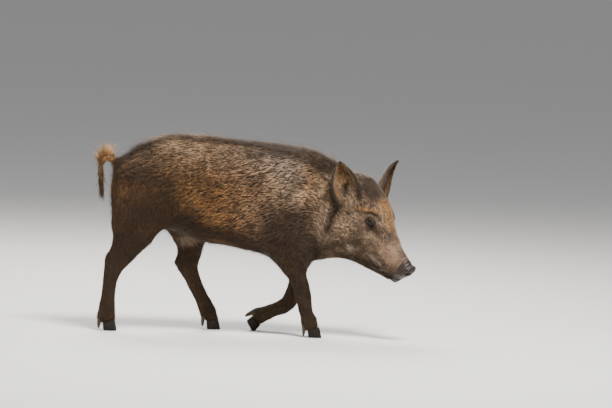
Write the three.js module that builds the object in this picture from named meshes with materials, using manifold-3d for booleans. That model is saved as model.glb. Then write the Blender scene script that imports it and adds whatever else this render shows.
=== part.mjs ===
// A young wild boar at life size, walking, its head low and turned a little to its right.
// Millimetres, +X forward, +Y to the animal's left, +Z up. The origin is on the floor under the model's middle.
//
// The flesh is one smooth field: tubes swept along the spine, the head and the limbs, melted into each other.
// It is meshed on a grid, coarse on the trunk and fine on the head and feet, and parted with thin plane cuts.
// Ears, eyes, hooves, dew claws and the tail are separate closed shapes.

import * as THREE from "three";
import { mergeVertices } from "three/addons/utils/BufferGeometryUtils.js";
import Module from "manifold-3d";

const wasm = await Module();
wasm.setup();

// ---- driving dimensions -------------------------------------------------------------------------------------

const BACK_HEIGHT = 613; // floor to the coat along the middle of the back
const FOOT_TRACK = 74; // from the middle plane to the middle of a foot
const HEAD_AT = [330, -38, 378]; // the middle of the skull, between and below the eyes
const HEAD_YAW = 38; // degrees, to the animal's right
const HEAD_PITCH = 38; // degrees below level
const HEAD_ROLL = 6; // degrees, right side down
const EAR_LENGTH = 138;
const EAR_WIDTH = 90;
const EAR_AT = [-42, 76, 32]; // its root, in the head's own frame, on the left side
const EAR_FACES = [0.65, 0.56, 0.5]; // where the left ear's hollow looks
const EAR_RISES = { right: [-75, -27, 92], left: [-50, 72, 74] }; // from the root to the tip
const EYE_RADIUS = 12;
const HOOF_LENGTH = 44;
const HOOF_WIDTH = 20;
const HOOF_HEIGHT = 32;
const DEW_CLAW_LENGTH = 33;
const DEW_CLAW_RADIUS = 7;

const CUT_GAP = 0.4; // left between two neighbouring pieces
const MELT_TRUNK = 42; // how far one mass melts into the next
const MELT_HEAD = 14;

// ---- small helpers ------------------------------------------------------------------------------------------

const vec = (p) => new THREE.Vector3(...p);
const radians = THREE.MathUtils.degToRad;
const lerp = THREE.MathUtils.lerp;

/** Soft minimum of two distances: the two surfaces melt into each other over a width of k. */
function melt(a, b, k) {
  const h = Math.max(k - Math.abs(a - b), 0) / k;
  return Math.min(a, b) - (h * h * k) / 4;
}

// ---- the field of the flesh ---------------------------------------------------------------------------------

/**
 * A body swept through stations { at, wide, up, down }. Across the sweep, `wide` is the half width along the
 * tube's side axis, and `up` and `down` are the half heights to either side of the centre line.
 * On a leg, which runs downwards, "up" is its front and "down" its back.
 */
class Tube {
  constructor(stations, { side = [0, 1, 0], frame = new THREE.Matrix4(), steps = 3, square = 2 } = {}) {
    this.square = square;
    const at = stations.map((s) => vec(s.at).applyMatrix4(frame));
    const sideAxis = vec(side).transformDirection(frame);
    const curve = new THREE.CatmullRomCurve3(at, false, "centripetal");
    const last = stations.length - 1;
    this.rings = [];
    for (let i = 0; i <= last * steps; i++) {
      const t = i / (last * steps);
      const here = Math.min(Math.floor(t * last), last - 1);
      const blend = THREE.MathUtils.smoothstep(t * last - here, -0.35, 1.35);
      const size = (key) => lerp(stations[here][key], stations[here + 1][key], (blend - 0.0904) / 0.8192);
      this.rings.push({ at: curve.getPoint(t), wide: size("wide"), up: size("up"), down: size("down") });
    }
    for (let i = 0; i < this.rings.length - 1; i++) {
      const ring = this.rings[i];
      ring.along = this.rings[i + 1].at.clone().sub(ring.at);
      ring.length = ring.along.length();
      ring.along.divideScalar(ring.length);
      ring.upAxis = ring.along.clone().cross(sideAxis).normalize();
      ring.sideAxis = ring.upAxis.clone().cross(ring.along);
    }
  }

  /** Signed distance from the tube's surface, near enough, negative inside. */
  distance(x, y, z) {
    let best = Infinity;
    for (let i = 0; i < this.rings.length - 1; i++) {
      const ring = this.rings[i];
      const next = this.rings[i + 1];
      const rx = x - ring.at.x;
      const ry = y - ring.at.y;
      const rz = z - ring.at.z;
      const run = rx * ring.along.x + ry * ring.along.y + rz * ring.along.z;
      const t = Math.min(Math.max(run / ring.length, 0), 1);
      const beyond = run - t * ring.length;
      const across = rx * ring.sideAxis.x + ry * ring.sideAxis.y + rz * ring.sideAxis.z;
      const above = rx * ring.upAxis.x + ry * ring.upAxis.y + rz * ring.upAxis.z;
      const wide = lerp(ring.wide, next.wide, t);
      const high = above > 0 ? lerp(ring.up, next.up, t) : lerp(ring.down, next.down, t);
      const thin = Math.min(wide, high);
      const n = this.square;
      const q = Math.pow(
        Math.pow(Math.abs(across) / wide, n) +
          Math.pow(Math.abs(above) / high, n) +
          Math.pow(Math.abs(beyond) / thin, n),
        1 / n,
      );
      best = Math.min(best, (q - 1) * thin);
    }
    return best;
  }
}

/** A round mass: an ellipsoid with half axes `radii`, in a frame. */
class Mass {
  constructor(at, radii, frame = new THREE.Matrix4(), turn = [0, 0, 0]) {
    const place = new THREE.Matrix4().makeRotationFromEuler(new THREE.Euler(...turn.map(radians)));
    this.inverse = frame.clone().multiply(place.setPosition(vec(at))).invert();
    this.radii = radii;
    this.point = new THREE.Vector3();
  }

  distance(x, y, z) {
    const p = this.point.set(x, y, z).applyMatrix4(this.inverse);
    const q = Math.hypot(p.x / this.radii[0], p.y / this.radii[1], p.z / this.radii[2]);
    return (q - 1) * Math.min(...this.radii);
  }
}

// ---- trunk and neck -----------------------------------------------------------------------------------------

/** A trunk station from the heights of its top and bottom lines. */
function slice(x, y, top, bottom, wide) {
  const middle = lerp(bottom, top, 0.47);
  return { at: [x, y, middle], wide, up: top - middle, down: middle - bottom };
}

const B = BACK_HEIGHT;
const trunkTube = new Tube(
  [
    slice(-402, 0, B - 76, 366, 74), // croup
    slice(-344, 0, B - 24, 336, 96), // hips
    slice(-270, 0, B + 9, 316, 104), // loin
    slice(-165, 0, B + 1, 284, 110), // flank
    slice(-70, 0, B - 7, 254, 118), // belly
    slice(20, 0, B - 10, 246, 116), // ribs
    slice(90, 0, B - 24, 238, 104), // withers
    slice(150, -2, B - 52, 240, 88), // point of the shoulder
  ],
  { square: 2.25 },
);

const neckTube = new Tube([
  slice(110, 0, B - 50, 242, 94), // root of the neck
  slice(170, -4, B - 66, 240, 84), // middle
  slice(225, -14, B - 80, 242, 78), // behind the ears
  slice(272, -26, B - 100, 248, 72), // nape
]);

// ---- head ---------------------------------------------------------------------------------------------------

// The head's own frame: X along the muzzle, Y to its left, Z out of the forehead.
const headFrame = new THREE.Matrix4()
  .makeRotationFromEuler(new THREE.Euler(radians(HEAD_ROLL), radians(HEAD_PITCH), radians(-HEAD_YAW), "ZYX"))
  .setPosition(vec(HEAD_AT));

/** A head station: distance along the muzzle, and its top and bottom lines. */
function faceSlice(x, top, bottom, wide) {
  const middle = (top + bottom) / 2;
  return { at: [x, 0, middle], wide, up: top - middle, down: middle - bottom };
}

const headTube = new Tube(
  [
    faceSlice(-58, 102, -84, 62), // back of the skull
    faceSlice(-10, 98, -98, 63), // crown
    faceSlice(42, 62, -102, 57), // eyes
    faceSlice(96, 34, -90, 45), // cheeks
    faceSlice(150, 15, -78, 34), // muzzle
    faceSlice(198, 5, -64, 28), // behind the nose
  ],
  { side: [0, 1, 0], frame: headFrame, square: 2.2 },
);

const jawTube = new Tube(
  [
    faceSlice(-4, -40, -143, 50), // angle of the jaw
    faceSlice(52, -50, -139, 44),
    faceSlice(110, -52, -122, 32),
    faceSlice(196, -44, -90, 20), // chin
  ],
  { side: [0, 1, 0], frame: headFrame },
);

const faceMasses = [-1, 1].flatMap((hand) => [
  new Mass([26, hand * 40, 42], [30, 16, 14], headFrame, [0, 12, hand * -10]), // brow ridge
  new Mass([46, hand * 46, -34], [58, 20, 30], headFrame, [0, 18, hand * -10]), // cheek bone
  new Mass([-10, hand * 44, -78], [44, 24, 40], headFrame), // jowl
  new Mass([-46, hand * 56, 22], [22, 18, 26], headFrame), // root of the ear
]);
const noseDisc = new Mass([225, 0, -24], [12, 26, 32], headFrame, [0, 20, 0]);

// ---- legs ---------------------------------------------------------------------------------------------------

/** A leg station: centre, half width across, and reach to the front and to the back. */
const joint = (x, y, z, wide, front, back) => ({ at: [x, y, z], wide, up: front, down: back });

const T = FOOT_TRACK;
const legTubes = {
  hind_right: [
    joint(-352, -52, 470, 48, 92, 102), // hip
    joint(-372, -66, 392, 50, 96, 104), // thigh
    joint(-390, -74, 316, 43, 76, 82), // stifle
    joint(-416, -76, 256, 33, 46, 48), // shank
    joint(-449, -75, 205, 25, 32, 30), // hock
    joint(-463, -T, 150, 20, 25, 24),
    joint(-467, -T, 110, 19, 23, 23), // cannon
    joint(-467, -T, 68, 22, 25, 26), // fetlock
    joint(-460, -T, 34, 21, 20, 24), // pastern
  ],
  hind_left: [
    joint(-300, 52, 462, 48, 88, 84),
    joint(-262, 68, 390, 50, 88, 86),
    joint(-226, 76, 318, 43, 66, 68),
    joint(-218, 78, 255, 33, 44, 44),
    joint(-224, 76, 200, 25, 34, 32),
    joint(-204, T, 148, 20, 25, 25),
    joint(-183, T, 108, 19, 23, 23),
    joint(-160, T, 66, 22, 25, 25),
    joint(-140, T, 36, 21, 20, 22),
  ],
  fore_right: [
    joint(120, -62, 372, 40, 72, 84), // shoulder joint
    joint(98, -74, 300, 40, 72, 70), // upper arm
    joint(100, -78, 245, 34, 55, 58), // elbow
    joint(122, -76, 190, 26, 31, 34), // forearm
    joint(136, -T, 148, 22, 26, 28),
    joint(142, -T, 112, 22, 27, 27), // carpus
    joint(150, -T, 80, 19, 23, 23), // cannon
    joint(162, -T, 54, 22, 24, 26), // fetlock
    joint(176, -T, 32, 21, 18, 24), // pastern
  ],
  fore_left: [
    joint(130, 62, 366, 40, 72, 82),
    joint(116, 74, 292, 40, 70, 68),
    joint(122, 78, 232, 34, 48, 52),
    joint(120, 76, 176, 26, 31, 33),
    joint(110, T, 126, 23, 27, 28),
    joint(92, T, 88, 23, 27, 26), // carpus, bent
    joint(52, T, 68, 20, 24, 23),
    joint(18, T, 50, 21, 23, 23),
    joint(1, T, 32, 20, 16, 18),
  ],
};
const legs = Object.fromEntries(Object.entries(legTubes).map(([name, joints]) => [name, new Tube(joints)]));


// Each foot's own frame: X towards the toe, Z up out of the sole, its origin 34 mm above the sole.
const FOOT_PITCH = { fore_left: 58 }; // degrees that a toe points down; the other feet stand level
const footFrames = Object.fromEntries(
  Object.entries(legTubes).map(([name, joints]) => {
    const turn = new THREE.Matrix4().makeRotationY(radians(FOOT_PITCH[name] ?? 0));
    return [name, turn.premultiply(new THREE.Matrix4().makeTranslation(...joints.at(-1).at))];
  }),
);
const CLAW_AT = [-30, 13, 6]; // the root of a dew claw in the foot's frame

const clawRoots = Object.values(footFrames).flatMap((frame) =>
  [-1, 1].map((hand) => new Mass([CLAW_AT[0] + 4, hand * CLAW_AT[1], CLAW_AT[2] + 4], [14, 11, 15], frame)),
);
const hockPoints = [new Mass([-466, -75, 216], [17, 15, 24]), new Mass([-254, 76, 206], [17, 15, 24])];
const elbowPoints = [new Mass([60, -74, 250], [22, 20, 24]), new Mass([84, 74, 244], [22, 20, 24])];
const shoulderBlades = [
  new Mass([92, -72, 432], [88, 34, 118], undefined, [0, -16, 0]),
  new Mass([98, 72, 428], [88, 34, 118], undefined, [0, -16, 0]),
];

/** The whole body's field. */
function flesh(x, y, z) {
  let body = melt(trunkTube.distance(x, y, z), neckTube.distance(x, y, z), MELT_TRUNK);
  for (const blade of shoulderBlades) body = melt(body, blade.distance(x, y, z), MELT_TRUNK);
  let limb = Infinity;
  for (const tube of Object.values(legs)) limb = Math.min(limb, tube.distance(x, y, z));
  for (const mass of [...hockPoints, ...elbowPoints, ...clawRoots]) {
    limb = melt(limb, mass.distance(x, y, z), MELT_HEAD);
  }
  body = melt(body, limb, MELT_TRUNK * 0.7);
  let head = melt(headTube.distance(x, y, z), jawTube.distance(x, y, z), MELT_HEAD);
  for (const mass of faceMasses) head = melt(head, mass.distance(x, y, z), MELT_HEAD);
  head = melt(head, noseDisc.distance(x, y, z), 6);
  return melt(body, head, MELT_TRUNK * 0.8);
}

// ---- from the field to closed solids ------------------------------------------------------------------------

/** Closed triangle mesh of the field inside a box: one vertex to a grid cell, then drawn onto the surface. */
function polygonise(field, low, high, cell) {
  const count = low.map((v, i) => Math.ceil((high[i] - v) / cell[i]));
  const [nx, ny, nz] = count.map((n) => n + 1);
  const node = (i, j, k) => (k * ny + j) * nx + i;
  const values = new Float64Array(nx * ny * nz);
  for (let k = 0; k < nz; k++)
    for (let j = 0; j < ny; j++)
      for (let i = 0; i < nx; i++) {
        const edge = i === 0 || j === 0 || k === 0 || i === nx - 1 || j === ny - 1 || k === nz - 1;
        const value = field(low[0] + i * cell[0], low[1] + j * cell[1], low[2] + k * cell[2]);
        values[node(i, j, k)] = edge ? Math.max(value, cell[0] / 4) : value;
      }

  const vertexOf = new Int32Array(nx * ny * nz);
  const points = [];
  for (let k = 0; k < nz - 1; k++)
    for (let j = 0; j < ny - 1; j++)
      for (let i = 0; i < nx - 1; i++) {
        const sum = new THREE.Vector3();
        let crossings = 0;
        for (let axis = 0; axis < 3; axis++)
          for (let side = 0; side < 4; side++) {
            const a = [i, j, k];
            a[(axis + 1) % 3] += side & 1;
            a[(axis + 2) % 3] += side >> 1;
            const b = [...a];
            b[axis] += 1;
            const from = values[node(...a)];
            const to = values[node(...b)];
            if (from < 0 === to < 0) continue;
            a[axis] += from / (from - to);
            sum.add(vec(a));
            crossings++;
          }
        if (!crossings) continue;
        vertexOf[node(i, j, k)] = points.length;
        const corner = vec([i, j, k]).multiply(vec(cell)).add(vec(low));
        const point = sum.divideScalar(crossings).multiply(vec(cell)).add(vec(low));
        const onWall = Math.min(i, j, k) === 0 || i === nx - 2 || j === ny - 2 || k === nz - 2;
        points.push(onWall ? point : drawnOn(field, point, corner, cell));
      }

  const index = [];
  for (let k = 0; k < nz - 1; k++)
    for (let j = 0; j < ny - 1; j++)
      for (let i = 0; i < nx - 1; i++)
        for (let axis = 0; axis < 3; axis++) {
          const next = [i, j, k];
          next[axis] += 1;
          const inside = values[node(i, j, k)] < 0;
          if (inside === values[node(...next)] < 0) continue;
          const around = [[0, 0], [1, 0], [1, 1], [0, 1]].map(([u, v]) => {
            const at = [i, j, k];
            at[(axis + 1) % 3] -= u;
            at[(axis + 2) % 3] -= v;
            return vertexOf[node(...at)];
          });
          if (!inside) around.reverse();
          const [a, b, c, d] = around;
          const even = points[a].distanceTo(points[c]) < points[b].distanceTo(points[d]);
          index.push(...(even ? [a, b, c, a, c, d] : [b, c, d, b, d, a]));
        }
  return { points, index };
}

/** The point moved along the field's slope onto the surface, kept well inside its own cell. */
function drawnOn(field, p, corner, cell) {
  const e = 0.5;
  for (let step = 0; step < 3; step++) {
    const value = field(p.x, p.y, p.z);
    const slope = new THREE.Vector3(
      field(p.x + e, p.y, p.z) - value,
      field(p.x, p.y + e, p.z) - value,
      field(p.x, p.y, p.z + e) - value,
    ).divideScalar(e);
    p.addScaledVector(slope, -value / Math.max(slope.lengthSq(), 0.1));
  }
  const inset = vec(cell).multiplyScalar(0.05);
  return p.clamp(corner.clone().add(inset), corner.clone().add(vec(cell)).sub(inset));
}

/** A closed solid from points and triangles, ready for cutting. */
function solid({ points, index }) {
  const vertProperties = new Float32Array(points.flatMap((p) => p.toArray()));
  return new wasm.Manifold(new wasm.Mesh({ numProp: 3, vertProperties, triVerts: new Uint32Array(index) }));
}

/** True where two sheets of a mesh touch along an edge. */
function pinched(index) {
  const uses = new Map();
  for (let i = 0; i < index.length; i++) {
    const next = i % 3 === 2 ? i - 2 : i + 1;
    const key = index[i] < index[next] ? `${index[i]} ${index[next]}` : `${index[next]} ${index[i]}`;
    uses.set(key, (uses.get(key) ?? 0) + 1);
  }
  return Math.max(...uses.values()) > 2;
}

/** The flesh inside a box. A grid on which two sheets touch is moved a little and tried again. */
function fleshSolid(low, high, cell) {
  for (let attempt = 0; attempt < 12; attempt++) {
    const moved = low.map((v, i) => v - cell[i] * ((attempt * (0.37 + 0.11 * i)) % 1));
    const mesh = polygonise(flesh, moved, high, cell);
    if (!pinched(mesh.index)) return solid(mesh);
  }
  throw new Error(`no closed mesh between ${low} and ${high}`);
}

/** Everything on the far side of a plane, `shift` beyond it: a very large block. */
function beyond([at, normal], shift = 0) {
  const size = 3000;
  const block = new THREE.BoxGeometry(size, size, size).translate(0, 0, size / 2 + shift);
  const turn = new THREE.Quaternion().setFromUnitVectors(new THREE.Vector3(0, 0, 1), vec(normal).normalize());
  block.applyQuaternion(turn).translate(...at);
  block.deleteAttribute("uv");
  block.deleteAttribute("normal");
  const merged = mergeVertices(block, 0.01);
  const corners = merged.attributes.position;
  const corner = (_, i) => new THREE.Vector3().fromBufferAttribute(corners, i);
  const points = Array.from({ length: corners.count }, corner);
  return solid({ points, index: [...merged.index.array] });
}

/** The convex zone beyond all of the planes. */
function zone(planes, shift) {
  return planes.map((plane) => beyond(plane, shift)).reduce((all, block) => all.intersect(block));
}

/** The same plane seen from its other side. */
const flip = ([at, normal]) => [at, normal.map((v) => -v)];

/** A closed solid through rings of points; both ends are closed by joining opposite points of the ring. */
function loft(rings) {
  const n = rings[0].length;
  const points = rings.flat();
  const index = [];
  for (let r = 0; r < rings.length - 1; r++)
    for (let i = 0; i < n; i++) {
      const a = r * n + i;
      const b = r * n + ((i + 1) % n);
      index.push(a, b, b + n, a, b + n, a + n);
    }
  const top = (rings.length - 1) * n;
  for (let i = 0; i < n / 2 - 1; i++) {
    const [a, b, c, d] = [i, i + 1, n - 2 - i, n - 1 - i];
    index.push(b, a, d, top + a, top + b, top + d);
    if (b !== c) index.push(b, d, c, top + b, top + c, top + d);
  }
  return { points, index };
}

/** The same, moved by a matrix. */
const placed = ({ points, index }, matrix) => {
  return { points: points.map((p) => p.clone().applyMatrix4(matrix)), index };
};

// ---- ears, eyes, hooves, dew claws, tail ----------------------------------------------------------------------

/** An ear: a cupped leaf, standing on Z, its hollow facing +X, swollen by `grow`. */
function earLeaf(grow = 0) {
  const levels = 8;
  const across = 7;
  const rings = [];
  for (let i = 0; i <= levels; i++) {
    const t = i / levels;
    const swell = 1 - Math.pow(Math.abs(t - 0.3) / 0.7, 2.2);
    const half = (EAR_WIDTH / 2) * (t < 0.3 ? lerp(0.78, 1, t / 0.3) : Math.max(swell, 0.05));
    const bend = radians(lerp(190, 60, Math.pow(t, 0.6)));
    const radius = half / Math.sin(Math.min(bend, Math.PI) / 2);
    const thick = lerp(10, 5, t) + 2 * grow;
    const arc = (r, s) => {
      const angle = s * (bend / 2 + (1.5 * grow) / radius);
      const x = radius * 0.6 - r * Math.cos(angle);
      return new THREE.Vector3(x, r * Math.sin(angle), (EAR_LENGTH + 2 * grow) * t - grow);
    };
    const ring = [];
    for (let j = 0; j < across; j++) ring.push(arc(radius + thick / 2, 1 - (2 * j) / (across - 1)));
    const inner = Math.max(radius - thick / 2, 1);
    for (let j = 0; j < across; j++) ring.push(arc(inner, (2 * j) / (across - 1) - 1));
    rings.push(ring);
  }
  return loft(rings);
}

/** Half of a cloven hoof: flat sole on Z = 0, toe towards +X, its heel at X = 0. */
function hoofHalf(hand) {
  const around = 10;
  const levels = 2;
  const rings = [];
  for (let i = 0; i <= levels; i++) {
    const t = i / levels;
    const length = lerp(HOOF_LENGTH, HOOF_LENGTH * 0.8, t);
    const width = lerp(HOOF_WIDTH, HOOF_WIDTH * 1.08, t);
    const ring = [];
    for (let j = 0; j < around; j++) {
      const a = ((j + 0.5) / around) * 2 * Math.PI;
      const x = Math.sign(Math.cos(a)) * Math.pow(Math.abs(Math.cos(a)), 0.85);
      const pinch = 1 - 0.42 * Math.pow(Math.max(x, 0), 2);
      const y = Math.sign(Math.sin(a)) * Math.pow(Math.abs(Math.sin(a)), 0.7) * pinch;
      const inward = -hand * 3 * Math.max(x, 0) ** 2;
      ring.push(
        new THREE.Vector3((x + 1) * (length / 2) - t * 4, y * (width / 2) + inward, HOOF_HEIGHT * 1.5 * t),
      );
    }
    rings.push(ring);
  }
  return loft(rings);
}

/** A dew claw, pointing down from its root at the origin, swollen by `grow`. */
function dewClaw(grow = 0) {
  const around = 6;
  const rings = [0, 0.25, 0.6, 1].map((t) => {
    const r = DEW_CLAW_RADIUS * Math.sqrt(1.06 - t * t * 0.9) + grow;
    return Array.from({ length: around }, (_, j) => {
      const a = -((j + 0.5) / around) * 2 * Math.PI;
      const height = grow - (DEW_CLAW_LENGTH + 2 * grow) * t;
      return new THREE.Vector3(r * Math.cos(a) - 2 * t, r * Math.sin(a), height);
    });
  });
  return loft(rings);
}

/** A round tapering body along a line of stations [x, y, z, radius], swollen by `grow`. */
function taper(stations, grow = 0) {
  const around = 8;
  const curve = new THREE.CatmullRomCurve3(stations.map((s) => vec(s)));
  const last = stations.length - 1;
  const rings = stations.map((s, i) => {
    const along = curve.getTangent(i / last);
    const turn = new THREE.Quaternion().setFromUnitVectors(new THREE.Vector3(0, 0, 1), along);
    const at = vec(s).addScaledVector(along, i === 0 ? -grow : i === last ? grow : 0);
    return Array.from({ length: around }, (_, j) => {
      const a = ((j + 0.5) / around) * 2 * Math.PI;
      const r = s[3] + grow;
      return new THREE.Vector3(r * Math.cos(a), r * Math.sin(a), 0).applyQuaternion(turn).add(at);
    });
  });
  return loft(rings);
}

// ---- parting the body ---------------------------------------------------------------------------------------

const SHIFT = CUT_GAP / 2;
const headPoint = (p) => vec(p).applyMatrix4(headFrame).toArray();
const headDirection = (p) => vec(p).transformDirection(headFrame).toArray();

const neckCut = [[176, 0, 400], [1, -0.12, 0.1]];
const headCut = [headPoint([-84, 0, 0]), headDirection([1, 0, 0.32])];
const muzzleCut = [headPoint([102, 0, 0]), headDirection([1, 0, -0.12])];
const snoutCut = [headPoint([210, 0, -20]), headDirection([1, 0, -0.2])];

/** The plane across a leg at one of its joints, facing down the leg. */
function legCut(name, at) {
  const joints = legTubes[name];
  const along = vec(joints[at + 1].at).sub(vec(joints[at - 1].at)).normalize();
  return [joints[at].at, along.toArray()];
}

// Where each leg leaves the trunk: the planes that bound it, each facing the leg.
const legRoots = {
  hind_right: [
    [[-300, -60, 404], [-0.4, -0.5, -0.76]],
    [[-228, -80, 330], [-1, 0, -0.5]],
    [[0, 0, 0], [0, -1, 0]],
  ],
  hind_left: [
    [[-262, 70, 372], [-0.1, 0.5, -0.86]],
    [[-160, 80, 300], [-1, 0, -0.6]],
    [[0, 0, 0], [0, 1, 0]],
  ],
  fore_right: [
    [[100, -70, 296], [0, -0.45, -0.9]],
    [[20, -80, 250], [1, 0, -0.25]],
    flip(neckCut),
    [[0, -22, 0], [0, -1, 0]],
  ],
  fore_left: [
    [[112, 70, 292], [0, 0.45, -0.9]],
    [[32, 80, 250], [1, 0, -0.25]],
    flip(neckCut),
    [[0, 22, 0], [0, 1, 0]],
  ],
};

const pieces = new Map();

const whole = fleshSolid([-520, -180, 180], [270, 180, 680], [48, 32, 32]);
let trunk = whole.subtract(zone([neckCut], -SHIFT));
for (const planes of Object.values(legRoots)) trunk = trunk.subtract(zone(planes, -SHIFT));
pieces.set("trunk", trunk);

const frontFlesh = fleshSolid([110, -200, 180], [380, 140, 660], [31, 30, 30]);
const eyeAt = (hand) => headPoint([46, hand * 46, 29]);
const eyeBall = (hand, radius) => {
  const ball = new THREE.IcosahedronGeometry(radius, 1);
  ball.deleteAttribute("uv");
  ball.deleteAttribute("normal");
  const merged = mergeVertices(ball, 0.001);
  const corners = merged.attributes.position;
  const points = Array.from({ length: corners.count }, (_, i) =>
    new THREE.Vector3().fromBufferAttribute(corners, i).add(vec(eyeAt(hand))),
  );
  return solid({ points, index: [...merged.index.array] });
};

const headFlesh = fleshSolid([150, -260, 140], [520, 120, 560], [20, 20, 20]);
const noseFlesh = fleshSolid([400, -260, 140], [520, -80, 330], [11, 11, 11]);
let head = headFlesh.intersect(zone([neckCut, headCut, flip(muzzleCut)], SHIFT));
let neck = frontFlesh.intersect(zone([neckCut, flip(headCut)], SHIFT));
for (const [side, hand] of [["right", -1], ["left", 1]]) {
  head = head.subtract(eyeBall(hand, EYE_RADIUS + CUT_GAP));
  pieces.set(`eye_${side}`, eyeBall(hand, EYE_RADIUS));
  const rise = vec(EAR_RISES[side]).normalize();
  const across = rise.clone().cross(vec(EAR_FACES).multiply(vec([1, hand, 1]))).normalize();
  const stand = new THREE.Matrix4().makeBasis(across.clone().cross(rise), across, rise);
  stand.setPosition(EAR_AT[0], hand * EAR_AT[1], EAR_AT[2]).premultiply(headFrame);
  const socket = solid(placed(earLeaf(CUT_GAP), stand));
  head = head.subtract(socket);
  neck = neck.subtract(socket);
  pieces.set(`ear_${side}`, solid(placed(earLeaf(), stand)));
}
pieces.set("neck", neck);
pieces.set("head", head);
pieces.set("muzzle", headFlesh.intersect(zone([muzzleCut, flip(snoutCut)], SHIFT)));
pieces.set("snout", noseFlesh.intersect(zone([snoutCut], SHIFT)));

const legBox = {
  hind_right: [[-540, -170, -20], [-190, 40, 560]],
  hind_left: [[-420, -40, -20], [-80, 170, 560]],
  fore_right: [[-30, -170, -20], [240, 20, 420]],
  fore_left: [[-70, -20, -20], [250, 170, 420]],
};
const legParts = {
  hind: [["thigh", 3], ["shank", 5], ["cannon", 7], ["foot", null]],
  fore: [["forearm", 4], ["cannon", 6], ["foot", null]],
};
for (const [name, root] of Object.entries(legRoots)) {
  const [end, side] = name.split("_");
  const hand = side === "right" ? -1 : 1;
  const tip = legTubes[name].at(-1).at;
  const footFrame = footFrames[name];
  const coronet = [
    vec([0, 0, -4]).applyMatrix4(footFrame).toArray(),
    vec([0.25, 0, -1]).transformDirection(footFrame).toArray(),
  ];
  const [low, high] = legBox[name];
  const thick = fleshSolid(low, high, [26, 26, 28]);
  const joint = legTubes[name][legParts[end][0][1]];
  const slim = fleshSolid(low, [high[0], high[1], joint.at[2] + 70], [16, 16, 20]);
  let above = root;
  for (const [part, at] of legParts[end]) {
    const below = at === null ? coronet : legCut(name, at);
    const planes = zone([...above, flip(below)], SHIFT);
    pieces.set(`${part}_${name}`, (above === root ? thick : slim).intersect(planes));
    above = part === "thigh" ? [...root, below] : [below];
  }
  for (const [place, inner] of [["inner", -hand], ["outer", hand]]) {
    const at = new THREE.Matrix4().setPosition(-18, inner * (HOOF_WIDTH / 2 + 1.5), -tip[2]);
    const hoof = solid(placed(hoofHalf(inner), footFrame.clone().multiply(at)));
    pieces.set(`hoof_${place}_${name}`, hoof.intersect(zone([coronet, [[0, 0, 0], [0, 0, 1]]], SHIFT)));
    const claw = new THREE.Matrix4().setPosition(CLAW_AT[0], inner * CLAW_AT[1], CLAW_AT[2]);
    claw.premultiply(footFrame);
    const foot = pieces.get(`foot_${name}`);
    pieces.set(`foot_${name}`, foot.subtract(solid(placed(dewClaw(CUT_GAP), claw))));
    pieces.set(`dew_claw_${place}_${name}`, solid(placed(dewClaw(), claw)));
  }
}

const tailLine = [
  [-430, 0, 500, 17],
  [-478, 0, 535, 15],
  [-503, 0, 527, 13],
  [-506, 0, 485, 11],
  [-501, 0, 440, 8],
  [-493, 0, 405, 3],
];
pieces.set("tail", solid(taper(tailLine)));
pieces.set("trunk", trunk.subtract(solid(taper(tailLine, CUT_GAP))));
const tuft = solid(taper([[-486, 0, 538, 9], [-498, 0, 556, 15], [-506, 0, 577, 9]]));
pieces.set("tail_tuft", tuft.subtract(solid(taper(tailLine, CUT_GAP))));

// ---- the model ----------------------------------------------------------------------------------------------

const COLOURS = { eye: 0x1c120c, hoof: 0x3a332c, claw: 0x9a8a70, coat: 0x5d4a38 };

/** The piece's triangles with corners on a hundredth of a millimetre; those that shrank away are dropped. */
function snapped(piece) {
  const { vertProperties, triVerts } = piece.getMesh();
  const found = new Map();
  const points = [];
  const same = [];
  for (let i = 0; i < vertProperties.length; i += 3) {
    const p = Array.from(vertProperties.subarray(i, i + 3), (v) => Math.round(v * 100) / 100);
    const key = p.join();
    if (!found.has(key)) {
      found.set(key, points.length);
      points.push(p);
    }
    same.push(found.get(key));
  }
  const index = [];
  for (let i = 0; i < triVerts.length; i += 3) {
    const corners = Array.from(triVerts.subarray(i, i + 3), (v) => same[v]);
    if (new Set(corners).size === 3) index.push(...corners);
  }
  return { points, index };
}

function nodeMesh(name, piece) {
  const { points, index } = snapped(piece);
  const geometry = new THREE.BufferGeometry();
  geometry.setAttribute("position", new THREE.Float32BufferAttribute(points.flat(), 3));
  geometry.setIndex(index);
  geometry.computeVertexNormals();
  const kind = Object.keys(COLOURS).find((each) => name.includes(each)) ?? "coat";
  const finish = { name: `${name}_${kind}`, color: COLOURS[kind], roughness: 0.8 };
  const material = new THREE.MeshStandardMaterial(finish);
  const mesh = new THREE.Mesh(geometry, material);
  mesh.name = name;
  return mesh;
}

const boar = new THREE.Group();
boar.name = "wild_boar";
for (const [name, piece] of pieces) boar.add(nodeMesh(name, piece));

const box = new THREE.Box3().setFromObject(boar);
const middle = box.getCenter(new THREE.Vector3());
boar.position.set(...[-middle.x, -middle.y, -box.min.z].map((v) => Math.round(v * 100) / 100));

export default boar;
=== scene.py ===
"""A life-size still model of a young wild boar: one smooth skin under a coat of solid bristle tufts."""

import math

import bmesh
import bpy
import numpy as np
from mathutils import Matrix, Vector
from mathutils.bvhtree import BVHTree
from mathutils.kdtree import KDTree


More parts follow.
